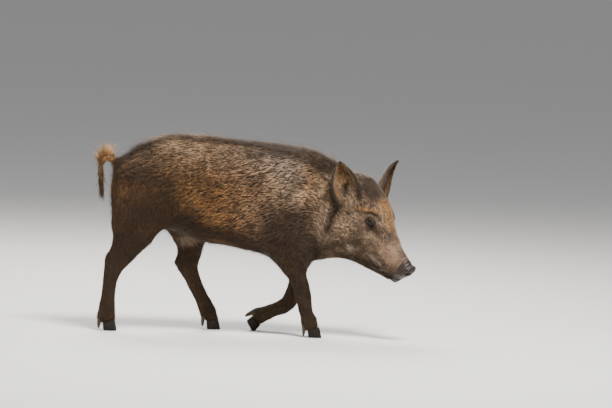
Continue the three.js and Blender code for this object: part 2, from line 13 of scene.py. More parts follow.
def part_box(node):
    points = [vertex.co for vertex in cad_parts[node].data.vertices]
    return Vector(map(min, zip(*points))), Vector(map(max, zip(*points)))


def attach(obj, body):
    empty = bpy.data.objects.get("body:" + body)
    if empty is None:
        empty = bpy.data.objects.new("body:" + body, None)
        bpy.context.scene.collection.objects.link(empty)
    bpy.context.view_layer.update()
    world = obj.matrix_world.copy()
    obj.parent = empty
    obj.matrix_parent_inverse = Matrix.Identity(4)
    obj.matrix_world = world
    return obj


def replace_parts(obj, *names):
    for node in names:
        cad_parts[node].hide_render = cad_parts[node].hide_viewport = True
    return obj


bl_info = {
    "name": "Wild boar",
    "version": (1, 0, 0),
    "blender": (4, 5, 0),
    "location": "3D View > Sidebar > Boar",
    "description": "Builds the skin, coat, eyes and hooves of a still wild boar around its solids",
    "category": "Object",
}

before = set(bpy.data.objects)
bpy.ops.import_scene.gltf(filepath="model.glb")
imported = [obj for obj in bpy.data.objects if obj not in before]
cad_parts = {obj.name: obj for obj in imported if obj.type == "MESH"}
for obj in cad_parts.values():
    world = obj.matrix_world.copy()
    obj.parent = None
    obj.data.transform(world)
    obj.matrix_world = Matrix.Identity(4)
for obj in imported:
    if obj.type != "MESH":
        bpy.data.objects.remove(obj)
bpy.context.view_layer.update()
MM = 0.001
SEED = 11


# ---- places on the animal, from the frame --------------------------------------------------------


def middle(node):
    """The middle of a solid's box."""
    low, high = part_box(node)
    return np.array((low + high) / 2)


def turned(yaw, pitch, roll):
    """Axes turned by roll about X, then pitch about Y, then yaw about Z, in degrees."""
    turn = Matrix.Identity(3)
    for angle, axis in ((yaw, "Z"), (pitch, "Y"), (roll, "X")):
        turn = turn @ Matrix.Rotation(math.radians(angle), 3, axis)
    return np.array(turn)


HEAD_AXES = turned(-38, 38, 6)  # columns: towards the nose, towards the left ear, up through the crown
EYE_PLACE = np.array([46, 46, 29]) * MM  # the left eye in the head's frame
HEAD_AT = (middle("eye_right") + middle("eye_left")) / 2 - HEAD_AXES @ (EYE_PLACE * (1, 0, 1))


def head_point(x, y, z):
    """A place given in the head's own frame, in millimetres."""
    return HEAD_AT + HEAD_AXES @ (np.array([x, y, z]) * MM)


def in_head(points):
    """Points in the head's own frame, in millimetres."""
    return (points - HEAD_AT) @ HEAD_AXES / MM


def folded(points):
    """Points of the head's right half moved over to its left half."""
    return points * (1, 0, 1) + np.abs(points) * (0, 1, 0)


SIDES = {"right": -1, "left": 1}  # which way each side lies from the head's middle
LEGS = ("hind_right", "hind_left", "fore_right", "fore_left")
LEG_PARTS = {"hind": ("thigh", "shank", "cannon", "foot"), "fore": ("forearm", "cannon", "foot")}
LEG_ROOT_RISE = 120 * MM  # from the middle of a leg's first part up to where its line starts
TRUNK_MIDDLE = middle("trunk")
NECK_TO_SHOULDER = 90 * MM
SHOULDER_TO_FLANK = 60 * MM
EAR_LENGTH = 138 * MM
EAR_HALF = 45 * MM  # half an ear's greatest width
EAR_ROOT_AT = (-42, 76, 32)  # the left ear's, in the head's frame
EAR_RISES = {"right": (-75, -27, 92), "left": (-50, 72, 74)}  # the way from each ear's root to its tip
TAIL_BEND_DROP = 18 * MM  # from the top of the tail's box down to the middle of its bend


def leg_line(leg):
    """From inside the body down the middle of each part of a leg to between its hooves."""
    parts = [middle(f"{part}_{leg}") for part in LEG_PARTS[leg.split("_")[0]]]
    hooves = (middle(f"hoof_inner_{leg}") + middle(f"hoof_outer_{leg}")) / 2
    root = parts[0] + (0, 0, LEG_ROOT_RISE)
    return [root, *parts, hooves]


def ear_line(side):
    """From an ear's root to its tip."""
    x, y, z = EAR_ROOT_AT
    root = head_point(x, y * SIDES[side], z)
    rise = np.array(EAR_RISES[side])
    return [root, root + HEAD_AXES @ rise / np.linalg.norm(rise) * EAR_LENGTH]


def tail_line():
    """Up from the rump, over the tail's bend, and down to its end."""
    low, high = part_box("tail")
    y = (low.y + high.y) / 2
    bend = high.z - TAIL_BEND_DROP
    return [
        (high.x, y, bend - 30 * MM),
        (low.x + 25 * MM, y, bend),
        (low.x + 13 * MM, y, bend - 25 * MM),
        (low.x + 18 * MM, y, low.z),
    ]


def regions():
    """Each stretch of skin: its solids, the line that its hair lies along from first to last, and its coat.

    A coat value is given at even steps along that line. In millimetres: depth is how far the skin lies
    inside the solids, length and width are a tuft's. As shares: stand is how steeply tufts stand, and melt
    is how much the solids' facets are smoothed away.
    """
    shoulder = middle("neck") - (NECK_TO_SHOULDER, 0, 0)
    flank = shoulder + (SHOULDER_TO_FLANK, 0, 0)
    tail_root = np.array([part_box("trunk")[0].x, TRUNK_MIDDLE[1], TRUNK_MIDDLE[2]])
    found = {
        "trunk": dict(
            nodes=["trunk"],
            line=[flank, tail_root],
            depth=[7, 7, 7],
            length=[22, 22, 25],
            width=[1.4, 1.4, 1.4],
            stand=[1, 1, 1.1],
            melt=[1, 1, 1],
        ),
        "neck": dict(
            nodes=["neck"],
            line=[head_point(-20, 0, -40), shoulder],
            depth=[7, 8],
            length=[18, 22],
            width=[1.35, 1.4],
            stand=[1, 1],
            melt=[0.6, 1],
        ),
        "head": dict(
            nodes=["head", "muzzle", "snout"],
            line=[head_point(240, 0, -40), head_point(-90, 0, -20)],
            depth=[0.2, 0.8, 1.5, 2.0, 3.0, 4.5, 5.5],
            length=[3, 5, 6.5, 8, 10, 13, 17],
            width=[0.8, 0.9, 1.0, 1.05, 1.15, 1.25, 1.35],
            stand=[0.6, 0.6, 0.6, 0.7, 0.8, 0.9, 1],
            melt=[0.08, 0.1, 0.2, 0.25, 0.25, 0.3, 0.4],
        ),
        "tail": dict(
            nodes=["tail"],
            line=tail_line(),
            depth=[3, 4, 4, 3],
            length=[20, 18, 22, 28],
            width=[1.3, 1.1, 1.0, 1.0],
            stand=[0.8, 0.9, 0.5, 0.5],
            melt=[0.25, 0.2, 0.2, 0.1],
        ),
    }
    for side in SIDES:
        found[f"ear_{side}"] = dict(
            nodes=[f"ear_{side}"],
            line=ear_line(side),
            depth=[1.5, 0.8, 0.6],
            length=[8, 6, 5],
            width=[1.0, 0.8, 0.7],
            stand=[0.7, 0.5, 0.4],
            melt=[0.35, 0.1, 0.05],
        )
    for leg in LEGS:
        found[leg] = dict(
            nodes=[f"{part}_{leg}" for part in LEG_PARTS[leg.split("_")[0]]],
            line=leg_line(leg),
            depth=[7, 6, 4, 2, 1.5, 1.2],
            length=[24, 21, 15, 11, 11, 17],
            width=[1.4, 1.4, 1.3, 1.15, 1.0, 0.95],
            stand=[1, 1, 0.8, 0.55, 0.55, 0.6],
            melt=[1, 0.8, 0.35, 0.15, 0.12, 0.1],
        )
    return found


REGIONS = regions()
REGION_NAMES = list(REGIONS)
FLESH = [node for region in REGIONS.values() for node in region["nodes"]]


def unit(vectors):
    """Vectors of length one along the last axis."""
    return vectors / np.maximum(np.linalg.norm(vectors, axis=-1, keepdims=True), 1e-12)


def along_line(points, line):
    """For each point the nearest place on a line: the share of its length gone, the place, the direction."""
    line = np.array(line, float)
    steps = np.linalg.norm(np.diff(line, axis=0), axis=1)
    gone = np.concatenate([[0], np.cumsum(steps)])
    best = np.full(len(points), np.inf)
    share = np.zeros(len(points))
    place = np.zeros((len(points), 3))
    heading = np.zeros((len(points), 3))
    for i, step in enumerate(steps):
        way = (line[i + 1] - line[i]) / step
        along = np.clip((points - line[i]) @ way, 0, step)
        foot = line[i] + along[:, None] * way
        away = np.linalg.norm(points - foot, axis=1)
        nearer = away < best
        best[nearer] = away[nearer]
        share[nearer] = (gone[i] + along[nearer]) / gone[-1]
        place[nearer] = foot[nearer]
        heading[nearer] = way
    return share, place, heading


def stations(share, values):
    """Values given at even steps along a line, read at each share of its length."""
    return np.interp(share, np.linspace(0, 1, len(values)), values)


def ramp(values, low, high):
    """0 below low, 1 above high, and smooth between them."""
    t = np.clip((np.asarray(values, float) - low) / (high - low), 0, 1)
    return t * t * (3 - 2 * t)


def blob(points, centre, radii):
    """1 at a place, falling smoothly to 0 on an ellipsoid round it."""
    away = np.linalg.norm((points - np.array(centre, float)) / np.array(radii, float), axis=-1)
    return ramp(away, 1, 0.25)


# ---- triangle meshes held in arrays --------------------------------------------------------------


BLUR_STEP = 0.6  # how far one blur takes a value towards its neighbours' mean


class Surface:
    """A triangle mesh's points and triangles, with the neighbours of each point."""

    def __init__(self, points, triangles):
        self.points = points
        self.triangles = triangles
        ends = np.concatenate([triangles[:, [0, 1]], triangles[:, [1, 2]], triangles[:, [2, 0]]])
        ends = np.concatenate([ends, ends[:, ::-1]])
        ends = np.unique(ends, axis=0)
        self.others = ends[:, 1]
        counts = np.bincount(ends[:, 0], minlength=len(points))
        self.counts = np.maximum(counts, 1)
        self.starts = np.concatenate([[0], np.cumsum(counts)[:-1]])

    def spread(self, values):
        """The mean of each point's neighbours."""
        total = np.add.reduceat(values[self.others], self.starts, axis=0)
        return total / (self.counts[:, None] if values.ndim > 1 else self.counts)

    def blurred(self, values, times):
        """Values that each move towards their neighbours' mean, so many times."""
        for _ in range(times):
            values = values + BLUR_STEP * (self.spread(values) - values)
        return values

    def normals(self):
        a, b, c = (self.points[self.triangles[:, i]] for i in range(3))
        across = np.cross(b - a, c - a)
        total = np.zeros_like(self.points)
        for i in range(3):
            for axis in range(3):
                total[:, axis] += np.bincount(self.triangles[:, i], across[:, axis], len(self.points))
        return unit(total)

    def areas(self):
        a, b, c = (self.points[self.triangles[:, i]] for i in range(3))
        return np.linalg.norm(np.cross(b - a, c - a), axis=1) / 2


def made_mesh(name, points, faces):
    """A smooth mesh from arrays; every face has the same number of corners."""
    mesh = bpy.data.meshes.new(name)
    sides = faces.shape[1]
    mesh.vertices.add(len(points))
    mesh.vertices.foreach_set("co", np.ascontiguousarray(points, np.float32).ravel())
    mesh.loops.add(faces.size)
    mesh.loops.foreach_set("vertex_index", np.ascontiguousarray(faces, np.int32).ravel())
    mesh.polygons.add(len(faces))
    mesh.polygons.foreach_set("loop_start", np.arange(0, faces.size, sides, dtype=np.int32))
    mesh.update(calc_edges=True)
    mesh.polygons.foreach_set("use_smooth", np.full(len(faces), True))
    return mesh


def shown(name, mesh, material):
    """An object in the scene that rides on the body and wears the given material."""
    thing = bpy.data.objects.new(name, mesh)
    bpy.context.scene.collection.objects.link(thing)
    mesh.materials.append(material)
    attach(thing, "root")
    return thing


def arrays(mesh):
    """A mesh's points and triangles."""
    points = np.zeros(len(mesh.vertices) * 3)
    mesh.vertices.foreach_get("co", points)
    mesh.calc_loop_triangles()
    triangles = np.zeros(len(mesh.loop_triangles) * 3, np.int32)
    mesh.loop_triangles.foreach_get("vertices", triangles)
    return points.reshape(-1, 3), triangles.reshape(-1, 3)


WELD = 0.01 * MM  # corners of a solid nearer than this are one


def welded(node):
    """A solid's points and triangles, with the corners that its flat faces repeat made one."""
    points, triangles = arrays(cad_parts[node].data)
    grid = np.round(points / WELD)
    _, first, same = np.unique(grid, axis=0, return_index=True, return_inverse=True)
    triangles = same.reshape(-1)[triangles]
    whole = (triangles != np.roll(triangles, 1, axis=1)).all(axis=1)
    return points[first], triangles[whole]


def keep_values(mesh, **values):
    """Stores numbers or vectors for each point, under their names."""
    for name, value in values.items():
        value = np.asarray(value, np.float32)
        kind, field = ("FLOAT", "value") if value.ndim == 1 else ("FLOAT_VECTOR", "vector")
        kept = mesh.attributes.new(name, kind, "POINT")
        kept.data.foreach_set(field, np.ascontiguousarray(value).ravel())


def kept_values(mesh, *names):
    """The stored numbers of each point, in the order asked."""
    found = []
    for name in names:
        kept = mesh.attributes[name]
        size, field = (3, "vector") if kept.data_type == "FLOAT_VECTOR" else (1, "value")
        value = np.zeros(len(mesh.vertices) * size, np.float32)
        kept.data.foreach_get(field, value)
        found.append(value.reshape(-1, 3) if size == 3 else value)
    return found


def with_modifier(mesh, kind, groups=(), **settings):
    """The mesh that a modifier makes of this one; groups are names with the weight of each point."""
    thing = bpy.data.objects.new("work", mesh)
    bpy.context.scene.collection.objects.link(thing)
    for name, weights in dict(groups).items():
        group = thing.vertex_groups.new(name=name)
        for weight in np.unique(weights):
            group.add(np.flatnonzero(weights == weight).tolist(), float(weight), "REPLACE")
    modifier = thing.modifiers.new(kind.lower(), kind)
    for name, value in settings.items():
        setattr(modifier, name, value)
    depsgraph = bpy.context.evaluated_depsgraph_get()
    made = bpy.data.meshes.new_from_object(thing.evaluated_get(depsgraph))
    bpy.data.objects.remove(thing)
    return made


# ---- shader maths --------------------------------------------------------------------------------


class Value:
    """A shader socket that sums and products can be written with."""

    def __init__(self, shader, socket):
        self.shader = shader
        self.socket = socket

    def _with(self, operation, *parts):
        return self.shader.node("ShaderNodeMath", {"operation": operation}, *parts)

    def __add__(self, other):
        return self._with("ADD", self, other)

    def __sub__(self, other):
        return self._with("SUBTRACT", self, other)

    def __rsub__(self, other):
        return self._with("SUBTRACT", other, self)

    def __mul__(self, other):
        return self._with("MULTIPLY", self, other)

    __radd__ = __add__
    __rmul__ = __mul__


class Shader:
    """A material's nodes."""

    def __init__(self, name):
        self.material = bpy.data.materials.new(name)
        self.material.use_nodes = True
        self.tree = self.material.node_tree
        self.surface = self.tree.nodes["Principled BSDF"]

    def node(self, kind, settings=(), *values, out=0, **named):
        """A node of that kind: its settings first, then its sockets in order or by name; gives one output."""
        made = self.tree.nodes.new(kind)
        for name, value in dict(settings).items():
            setattr(made, name, value)
        sockets = [s for s in made.inputs if s.enabled]
        by_name = {s.name.replace(" ", "_"): s for s in sockets}
        for socket, value in [*zip(sockets, values), *((by_name[k], v) for k, v in named.items())]:
            self.feed(socket, value)
        return Value(self, [s for s in made.outputs if s.enabled][out])

    def feed(self, socket, value):
        """Links a value to a socket, or sets a number or colour on it."""
        if isinstance(value, Value):
            self.tree.links.new(value.socket, socket)
        elif socket.type == "RGBA":
            socket.default_value = (*tuple(value)[:3], 1)
        else:
            socket.default_value = value

    def finish(self, **sockets):
        """Feeds the surface's sockets, named with _ for a space."""
        for name, value in sockets.items():
            self.feed(self.surface.inputs[name.replace("_", " ")], value)
        return self.material

    def attribute(self, name):
        """A number stored on the mesh."""
        return self.node("ShaderNodeAttribute", {"attribute_name": name}, out=2)

    def place(self):
        """Where the point is, in metres."""
        return self.node("ShaderNodeTexCoord", out=3)

    def noise(self, scale, detail=3.0):
        """Cloudy values from 0 to 1; scale is how many clouds a metre holds."""
        sizes = {"Scale": scale, "Detail": detail, "Roughness": 0.55}
        return self.node("ShaderNodeTexNoise", Vector=self.place(), **sizes)

    def mix(self, share, first, second):
        """One colour going over to another."""
        return self.node("ShaderNodeMix", {"data_type": "RGBA", "clamp_factor": True}, share, first, second)

    def step(self, value, low, high):
        """0 below low, 1 above high, smooth between."""
        return self.node("ShaderNodeMapRange", {"interpolation_type": "SMOOTHSTEP"}, value, low, high)

    def bump(self, height, strength, distance):
        """A normal that follows a height."""
        return self.node("ShaderNodeBump", Strength=strength, Distance=distance, Height=height)


# ---- settings ------------------------------------------------------------------------------------


def colour(name, description, default):
    """A colour that the panel shows."""
    return bpy.props.FloatVectorProperty(
        name=name, description=description, default=default, subtype="COLOR", size=3, min=0, max=1
    )


def length(name, description, default):
    """A length that the panel shows, in metres."""
    return bpy.props.FloatProperty(
        name=name, description=description, default=default, unit="LENGTH", min=0
    )


def number(name, description, default, **more):
    """A number that the panel shows."""
    return bpy.props.FloatProperty(name=name, description=description, default=default, **more)


def whole_number(name, description, default):
    """A whole number that the panel shows."""
    return bpy.props.IntProperty(name=name, description=description, default=default, min=1)


class BoarSkinSettings(bpy.types.PropertyGroup):
    """Sizes and colours of the skin."""

    grain: length("Grain", "Size of the grid that melts the solids into one skin", 3 * MM)
    faces: whole_number("Triangles", "Triangles left before the face is refined", 112000)
    eye_width: length("Eye width", "Width of the opening between the lids", 21 * MM)
    eye_height: length("Eye height", "Height of the opening between the lids", 9.5 * MM)
    nostril: length("Nostril", "Radius of a nostril", 7.5 * MM)
    bare: colour("Bare skin", "Skin of the nose", (0.022, 0.015, 0.012))
    pink: colour("Pale skin", "Thin skin of the muzzle and by the ears", (0.28, 0.155, 0.10))


class BoarCoatSettings(bpy.types.PropertyGroup):
    """The coat's make and colours."""

    cover: number("Cover", "How many tufts lie over each place", 2.7)
    fine_cover: number("Fine cover", "The same on the face and feet", 2.35)
    clump: whole_number("Clump", "How many tufts gather together", 3)
    gather: number("Gather", "How closely their tips meet", 0.16)
    guard: number("Guard share", "Share of the tufts that are longer, thinner and steeper", 0.09)
    lift: number("Lift", "How steeply tufts leave the skin", 0.36, subtype="ANGLE")
    unruly: number("Unruly", "How far tufts stray from the lie of the coat", 0.13, subtype="ANGLE")
    whiskers: number("Whiskers", "Long single hairs on a square metre of lip", 16000)
    guards: number("Guard hairs", "Long single hairs on a square metre of the back and belly", 11000)
    root: colour("Root", "Colour deep in the coat", (0.015, 0.009, 0.005))
    # Colour of the painted shade in holes, folds and creases.
    hollow: colour("Hollow", "In the ears and folds", (0.006, 0.004, 0.003))
    brown: colour("Brown", "Dark bristles", (0.030, 0.0175, 0.010))
    gold: colour("Gold", "Pale tips of the bristles", (0.70, 0.41, 0.18))
    rust: colour("Rust", "Tips on the flanks", (0.42, 0.17, 0.04))
    grey: colour("Grey", "Tips on the back and cheeks", (0.56, 0.44, 0.34))
    ginger: colour("Ginger", "Patch over the eyes and on the tail", (0.55, 0.26, 0.08))
    pale: colour("Pale", "Whiskers and groin", (0.66, 0.57, 0.46))


class BoarHornSettings(bpy.types.PropertyGroup):
    """Colours of eyes, hooves and dew claws."""

    eye: colour("Eye", "Ring round the pupil", (0.012, 0.006, 0.003))
    hoof: colour("Hoof", "Dark horn", (0.013, 0.010, 0.008))
    claw: colour("Dew claw", "Pale horn", (0.050, 0.037, 0.026))


class BoarStageSettings(bpy.types.PropertyGroup):
    """Camera, light and floor."""

    distance: length("Distance", "From the camera to the model", 16.0)
    rise: number("Rise", "How far the camera looks down", math.radians(6), subtype="ANGLE")
    roll: number("Roll", "How far the camera leans", math.radians(2.03), subtype="ANGLE")
    lens: number("Lens", "Focal length in millimetres", 301.65)
    turn: bpy.props.FloatVectorProperty(
        name="Turn",
        description="How far right of the model's foot and above it the camera looks, by the distance",
        default=(49 / 5128, 129 / 5128),
        size=2,
    )
    floor: colour("Floor", "The floor's colour", (0.62, 0.60, 0.57))
    floor_reach: length("Floor reach", "From the model to the floor's sides", 60.0)
    light: number("Light", "Power of the largest lamp", 380, unit="POWER")
    sky: number("Sky", "Strength of the light from all round", 0.42)


# ---- skin ----------------------------------------------------------------------------------------


SWELL = 0.6 * MM  # how far the solids are swollen, so that they meet before they are melted into one
REGION_BLUR = 24
FLOW_BLUR = 25
NORMAL_BLUR = 4
SAG = 0.34  # how far the hair on the body's sides turns down
MOST_MELTING = 90  # how often a point moves where melt is 1


def owners(points):
    """Which region each point belongs to, from the nearest solid."""
    corners, faces, names = [], [], []
    count = 0
    for index, name in enumerate(REGION_NAMES):
        for node in REGIONS[name]["nodes"]:
            part, triangles = welded(node)
            corners.append(part)
            faces.append(triangles + count)
            names += [index] * len(triangles)
            count += len(part)
    tree = BVHTree.FromPolygons(np.concatenate(corners).tolist(), np.concatenate(faces).tolist())
    return np.array([names[tree.find_nearest(point)[2]] for point in points.tolist()])


def melted(grain):
    """The flesh and eyes as one closed mesh, on a grid."""
    corners, faces = [], []
    count = 0
    for node in [*FLESH, "eye_right", "eye_left"]:
        points, triangles = welded(node)
        part = Surface(points, triangles)
        corners.append(points + part.normals() * SWELL)
        faces.append(triangles + count)
        count += len(points)
    solid = made_mesh("flesh", np.concatenate(corners), np.concatenate(faces))
    return with_modifier(solid, "REMESH", mode="VOXEL", voxel_size=grain, adaptivity=0)


def thinned(mesh, faces):
    """Larger triangles on the trunk and legs, small ones left on the head, ears and tail."""
    points, triangles = arrays(mesh)
    region = owners(points)
    fine = [REGION_NAMES.index(name) for name in ("head", "ear_right", "ear_left", "tail")]
    coarse = {"coarse": np.where(np.isin(region, fine), 0.0, 1.0)}
    ratio = faces / len(triangles)
    return with_modifier(mesh, "DECIMATE", groups=coarse, vertex_group="coarse", ratio=ratio)


EYE_SPOTS = [head_point(46, 50 * hand, 29) for hand in SIDES.values()]
DETAIL = [  # places that need small triangles, with their radii in millimetres
    (EYE_SPOTS[0], 30),
    (EYE_SPOTS[1], 30),
    (head_point(225, 0, -30), 40),
    (head_point(205, 0, -65), 40),
]
FINE_DETAIL = [(EYE_SPOTS[0], 20), (EYE_SPOTS[1], 20), (head_point(235, 0, -22), 26)]


def refined(mesh, places):
    """Each triangle near some places cut into four."""
    work = bmesh.new()
    work.from_mesh(mesh)
    bmesh.ops.triangulate(work, faces=work.faces[:])
    near = {
        edge
        for edge in work.edges
        for centre, radius in places
        if ((edge.verts[0].co + edge.verts[1].co) / 2 - Vector(centre)).length < radius * MM
    }
    bmesh.ops.subdivide_edges(work, edges=list(near), cuts=1, use_grid_fill=True)
    bmesh.ops.triangulate(work, faces=[face for face in work.faces if len(face.verts) > 3])
    work.to_mesh(mesh)
    work.free()
    return mesh


def region_weights(surface):
    """How much each point belongs to each region, going over smoothly between them."""
    own = owners(surface.points)
    sharp = np.zeros((len(own), len(REGION_NAMES)))
    sharp[np.arange(len(own)), own] = 1
    return own, surface.blurred(sharp, REGION_BLUR)


def coat_values(surface, weights):
    """Each coat value of each point, mixed from its regions."""
    names = ("depth", "length", "width", "stand", "melt")
    totals = {name: np.zeros(len(surface.points)) for name in names}
    for index, region in enumerate(REGIONS.values()):
        near = np.flatnonzero(weights[:, index] > 0.001)
        share = along_line(surface.points[near], region["line"])[0]
        for name in names:
            totals[name][near] += weights[near, index] * stations(share, region[name])
    return totals


def lie_of_coat(surface, weights, normals):
    """The direction that hair lies in at each point."""
    flow = np.zeros_like(surface.points)
    for index, region in enumerate(REGIONS.values()):
        near = np.flatnonzero(weights[:, index] > 0.001)
        flow[near] += weights[near, index][:, None] * along_line(surface.points[near], region["line"])[2]
    body = sum(weights[:, REGION_NAMES.index(name)] for name in ("trunk", "neck"))
    side = np.abs(normals[:, 1])
    flow[:, 2] -= SAG * body * side
    for _ in range(FLOW_BLUR):
        flow = surface.blurred(flow, 1)
        flow -= normals * np.sum(flow * normals, axis=1, keepdims=True)
        flow = unit(flow)
    return flow


def smoothed(surface, melt):
    """Rounds the facets away: the larger melt is at a point, the more often it moves."""
    for turn in range(MOST_MELTING):
        moving = melt > (turn + 0.5) / MOST_MELTING
        step = BLUR_STEP * (surface.spread(surface.points) - surface.points)
        surface.points[moving] += step[moving]


class BOAR_OT_skin(bpy.types.Operator):
    """Melts the solids of flesh into one skin and sculpts the face"""

    bl_idname = "boar.skin"
    bl_label = "Skin"

    def execute(self, context):
        sizes = context.scene.boar_skin
        mesh = refined(refined(thinned(melted(sizes.grain), sizes.faces), DETAIL), FINE_DETAIL)
        surface = Surface(*arrays(mesh))
        own, weights = region_weights(surface)
        values = coat_values(surface, weights)
        smoothed(surface, values["melt"])
        normals = surface.blurred(surface.normals(), NORMAL_BLUR)
        surface.points -= unit(normals) * values["depth"][:, None] * MM
        sculpt_face(surface, sizes)
        sculpt_ears(surface, weights)
        normals = surface.normals()
        flow = lie_of_coat(surface, weights, normals)
        skin_mesh = made_mesh("skin", surface.points, surface.triangles)
        marks = markings(surface, weights)
        shape = {name: values[name] for name in ("length", "width", "stand")}
        dress_ears(surface, weights, shape, marks)
        keep_values(skin_mesh, flow=flow, own=own, **shape, **marks)
        unwrap_skin(skin_mesh, surface, own)
        skin = shown("skin", skin_mesh, skin_material(context.scene))
        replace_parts(skin, *FLESH)
        return {"FINISHED"}


# ---- the face ------------------------------------------------------------------------------------


EYE_OUT = (0.30, 1.0, 0.16)  # where the left eye looks, in the head's frame
EYE_SLANT = -0.32  # how far the opening falls towards the nose
LID_THICK = 1.9
EYE_DEEP = 3.4  # how far the skin between the lids sinks into the ball
LID_FORMS = (  # on the ball, in millimetres along the opening and up: squeeze, middle, reach, rise
    (0.45, (0, 11.5), (9, 4.5), 1.6),  # fold above the upper lid
    (0.45, (0, 7.2), (8, 1.8), -1.6),  # groove between them
    (0.5, (1, -9.5), (8, 2.0), -1.1),  # groove below the lower lid
)
TEAR_REACH = (5, 2.2)  # the inner corner's groove
TEAR_RISE = -2.0


def eye_axes(hand):
    """An eye's own axes in the head's frame: outwards, forwards along the opening, and up."""
    x, y, z = EYE_OUT
    out = unit(np.array([x, hand * y, z]))
    ahead = unit(np.cross(np.array([0, 0, 1.0]), out) * -hand + np.array([0, 0, EYE_SLANT]))
    ahead = unit(ahead - out * (ahead @ out))
    up = np.cross(out, ahead) * hand
    return out, ahead, unit(up if up[2] > 0 else -up)


def sculpt_eye(points, hand, sizes):
    """Opens the skin over an eye and lays the lids on the ball."""
    centre = EYE_PLACE / MM * (1, hand, 1)
    out, ahead, up = eye_axes(hand)
    low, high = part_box("eye_left")
    ball = (high.x - low.x) / 2 / MM
    away = points - centre
    radius = np.linalg.norm(away, axis=1)
    u, v, w = away @ ahead, away @ up, away @ out
    near = (w > 0) & (radius < 34)
    half = sizes.eye_width / MM / 2
    tall = sizes.eye_height / MM / 2
    curve = np.sqrt(np.clip(1 - (u / half) ** 2, 0, 1))
    edge = np.where(v > 0, tall * 1.1 * curve, tall * 0.8 * curve)
    outside = np.maximum(np.abs(v) - edge, 0) + np.maximum(np.abs(u) - half, 0)
    opening = ramp(np.abs(v) - edge, 0.35, -0.55) * ramp(np.abs(u), half + 0.2, half - 0.6)
    upper = 1.3 * ramp(outside, 6, 1.0) * (v > 0)
    sunk = 0.8 * ramp(outside, 0, 5) * ramp(outside, 11, 6)
    lid = ball + LID_THICK + upper - sunk
    target = np.where(near, lid + ramp(outside, 3, 14) * 2.0, radius)
    close = ramp(outside, 15, 5) * near
    shaped = radius + close * (target - radius)
    for squeeze, middle_, reach, rise in LID_FORMS:
        shaped += rise * blob(np.stack([u * squeeze, v], 1), middle_, reach) * near
    shaped += TEAR_RISE * blob(np.stack([u, v], 1), (half + 2.5, -1.5), TEAR_REACH) * near
    shaped = np.where(near, shaped + opening * (ball - EYE_DEEP - shaped), radius)
    return centre + away * (shaped / np.maximum(radius, 1e-6))[:, None]


NOSE_TILT = unit(np.array([1, 0, -0.2]))
NOSE_FROM = 205  # where the disc of the nose starts along the head, in millimetres
NOSTRIL_DEEP = 10
RIM_RISE = 1.2
WRINKLE_RISE = 2.4
WRINKLE_STEP = 8.5  # from one fold of the nose to the next
MOUTH_DEEP = 3.2
LIP_CLEFT = 1.5


def sculpt_nose(points, normals, sizes):
    """Nostrils, the disc's rim, wrinkles behind it and the mouth's line."""
    x, y, z = points.T
    front = ramp(normals @ NOSE_TILT, 0.35, 0.75)
    move = np.zeros_like(points)
    radius = sizes.nostril / MM
    away = nostril_distance(y, z)
    rim = ramp(np.abs(away - radius * 1.45), 3.0, 0) * RIM_RISE * front * (x > NOSE_FROM)
    move += (rim - NOSTRIL_DEEP * front * nostrils(x, y, z, radius))[:, None] * NOSE_TILT
    top = ramp(normals[:, 2], -0.3, 0.5) * ramp(x, 182, 200) * ramp(x, 238, 226)
    wrinkle = (0.5 - wrinkles(x, z)) * WRINKLE_RISE * top
    groove = mouth_groove(x, y, z)
    cleft = ramp(np.abs(y), 4, 0) * ramp(-z, 20, 40) * ramp(x, 205, 222) * front * LIP_CLEFT
    return points + move + normals * (wrinkle - MOUTH_DEEP * groove - cleft)[:, None]


def nostril_distance(y, z):
    """How far points of the nose's disc are from the middle of the nearer nostril."""
    return np.hypot((np.abs(y) - 12.5) * 0.95, (z + 18 + 0.25 * np.abs(y)) * 0.82)


def nostrils(x, y, z, radius):
    """1 in a nostril, 0 outside."""
    return ramp(nostril_distance(y, z), radius * 1.05, radius * 0.45) * (x > NOSE_FROM)


def wrinkles(x, z):
    """1 in the folds that cross the nose behind its disc, 0 between them."""
    return 0.5 - 0.5 * np.sin((x + 0.12 * z + 1.5 * np.sin(z / 7)) * 2 * math.pi / WRINKLE_STEP)


def mouth_height(x):
    """Height of the mouth's line at each place along the muzzle."""
    return np.interp(x, [95, 120, 150, 180, 205, 222], [-72, -80, -83, -78, -68, -60])


def mouth_groove(x, y, z):
    """1 on the line where the lips meet, on both sides of the muzzle."""
    gone = np.abs(z - mouth_height(x))
    return ramp(gone, 3.6, 0.4) * ramp(x, 92, 104) * ramp(np.abs(y), 4, 9)


def sculpt_face(surface, sizes):
    """Shapes brow, cheeks, lids, nostrils, mouth and wrinkles, in the head's own frame."""
    points = in_head(surface.points)
    half = folded(points)
    rise = sum(far * blob(half, centre, radii) for centre, radii, far in FACE_FORMS)
    for fold, reach, deep in FACE_FOLDS:
        rise = rise - deep * band(half, fold, reach)
    points += (surface.normals() @ HEAD_AXES) * rise[:, None]
    near = np.flatnonzero((points[:, 0] > -10) & (np.abs(points[:, 1]) < 85))
    for hand in (-1, 1):
        points[near] = sculpt_eye(points[near], hand, sizes)
    nose = np.flatnonzero((points[:, 0] > 85) & (np.abs(points[:, 1]) < 60) & (points[:, 2] < 60))
    normals = surface.normals() @ HEAD_AXES
    points[nose] = sculpt_nose(points[nose], normals[nose], sizes)
    surface.points = HEAD_AT + (points * MM) @ HEAD_AXES.T
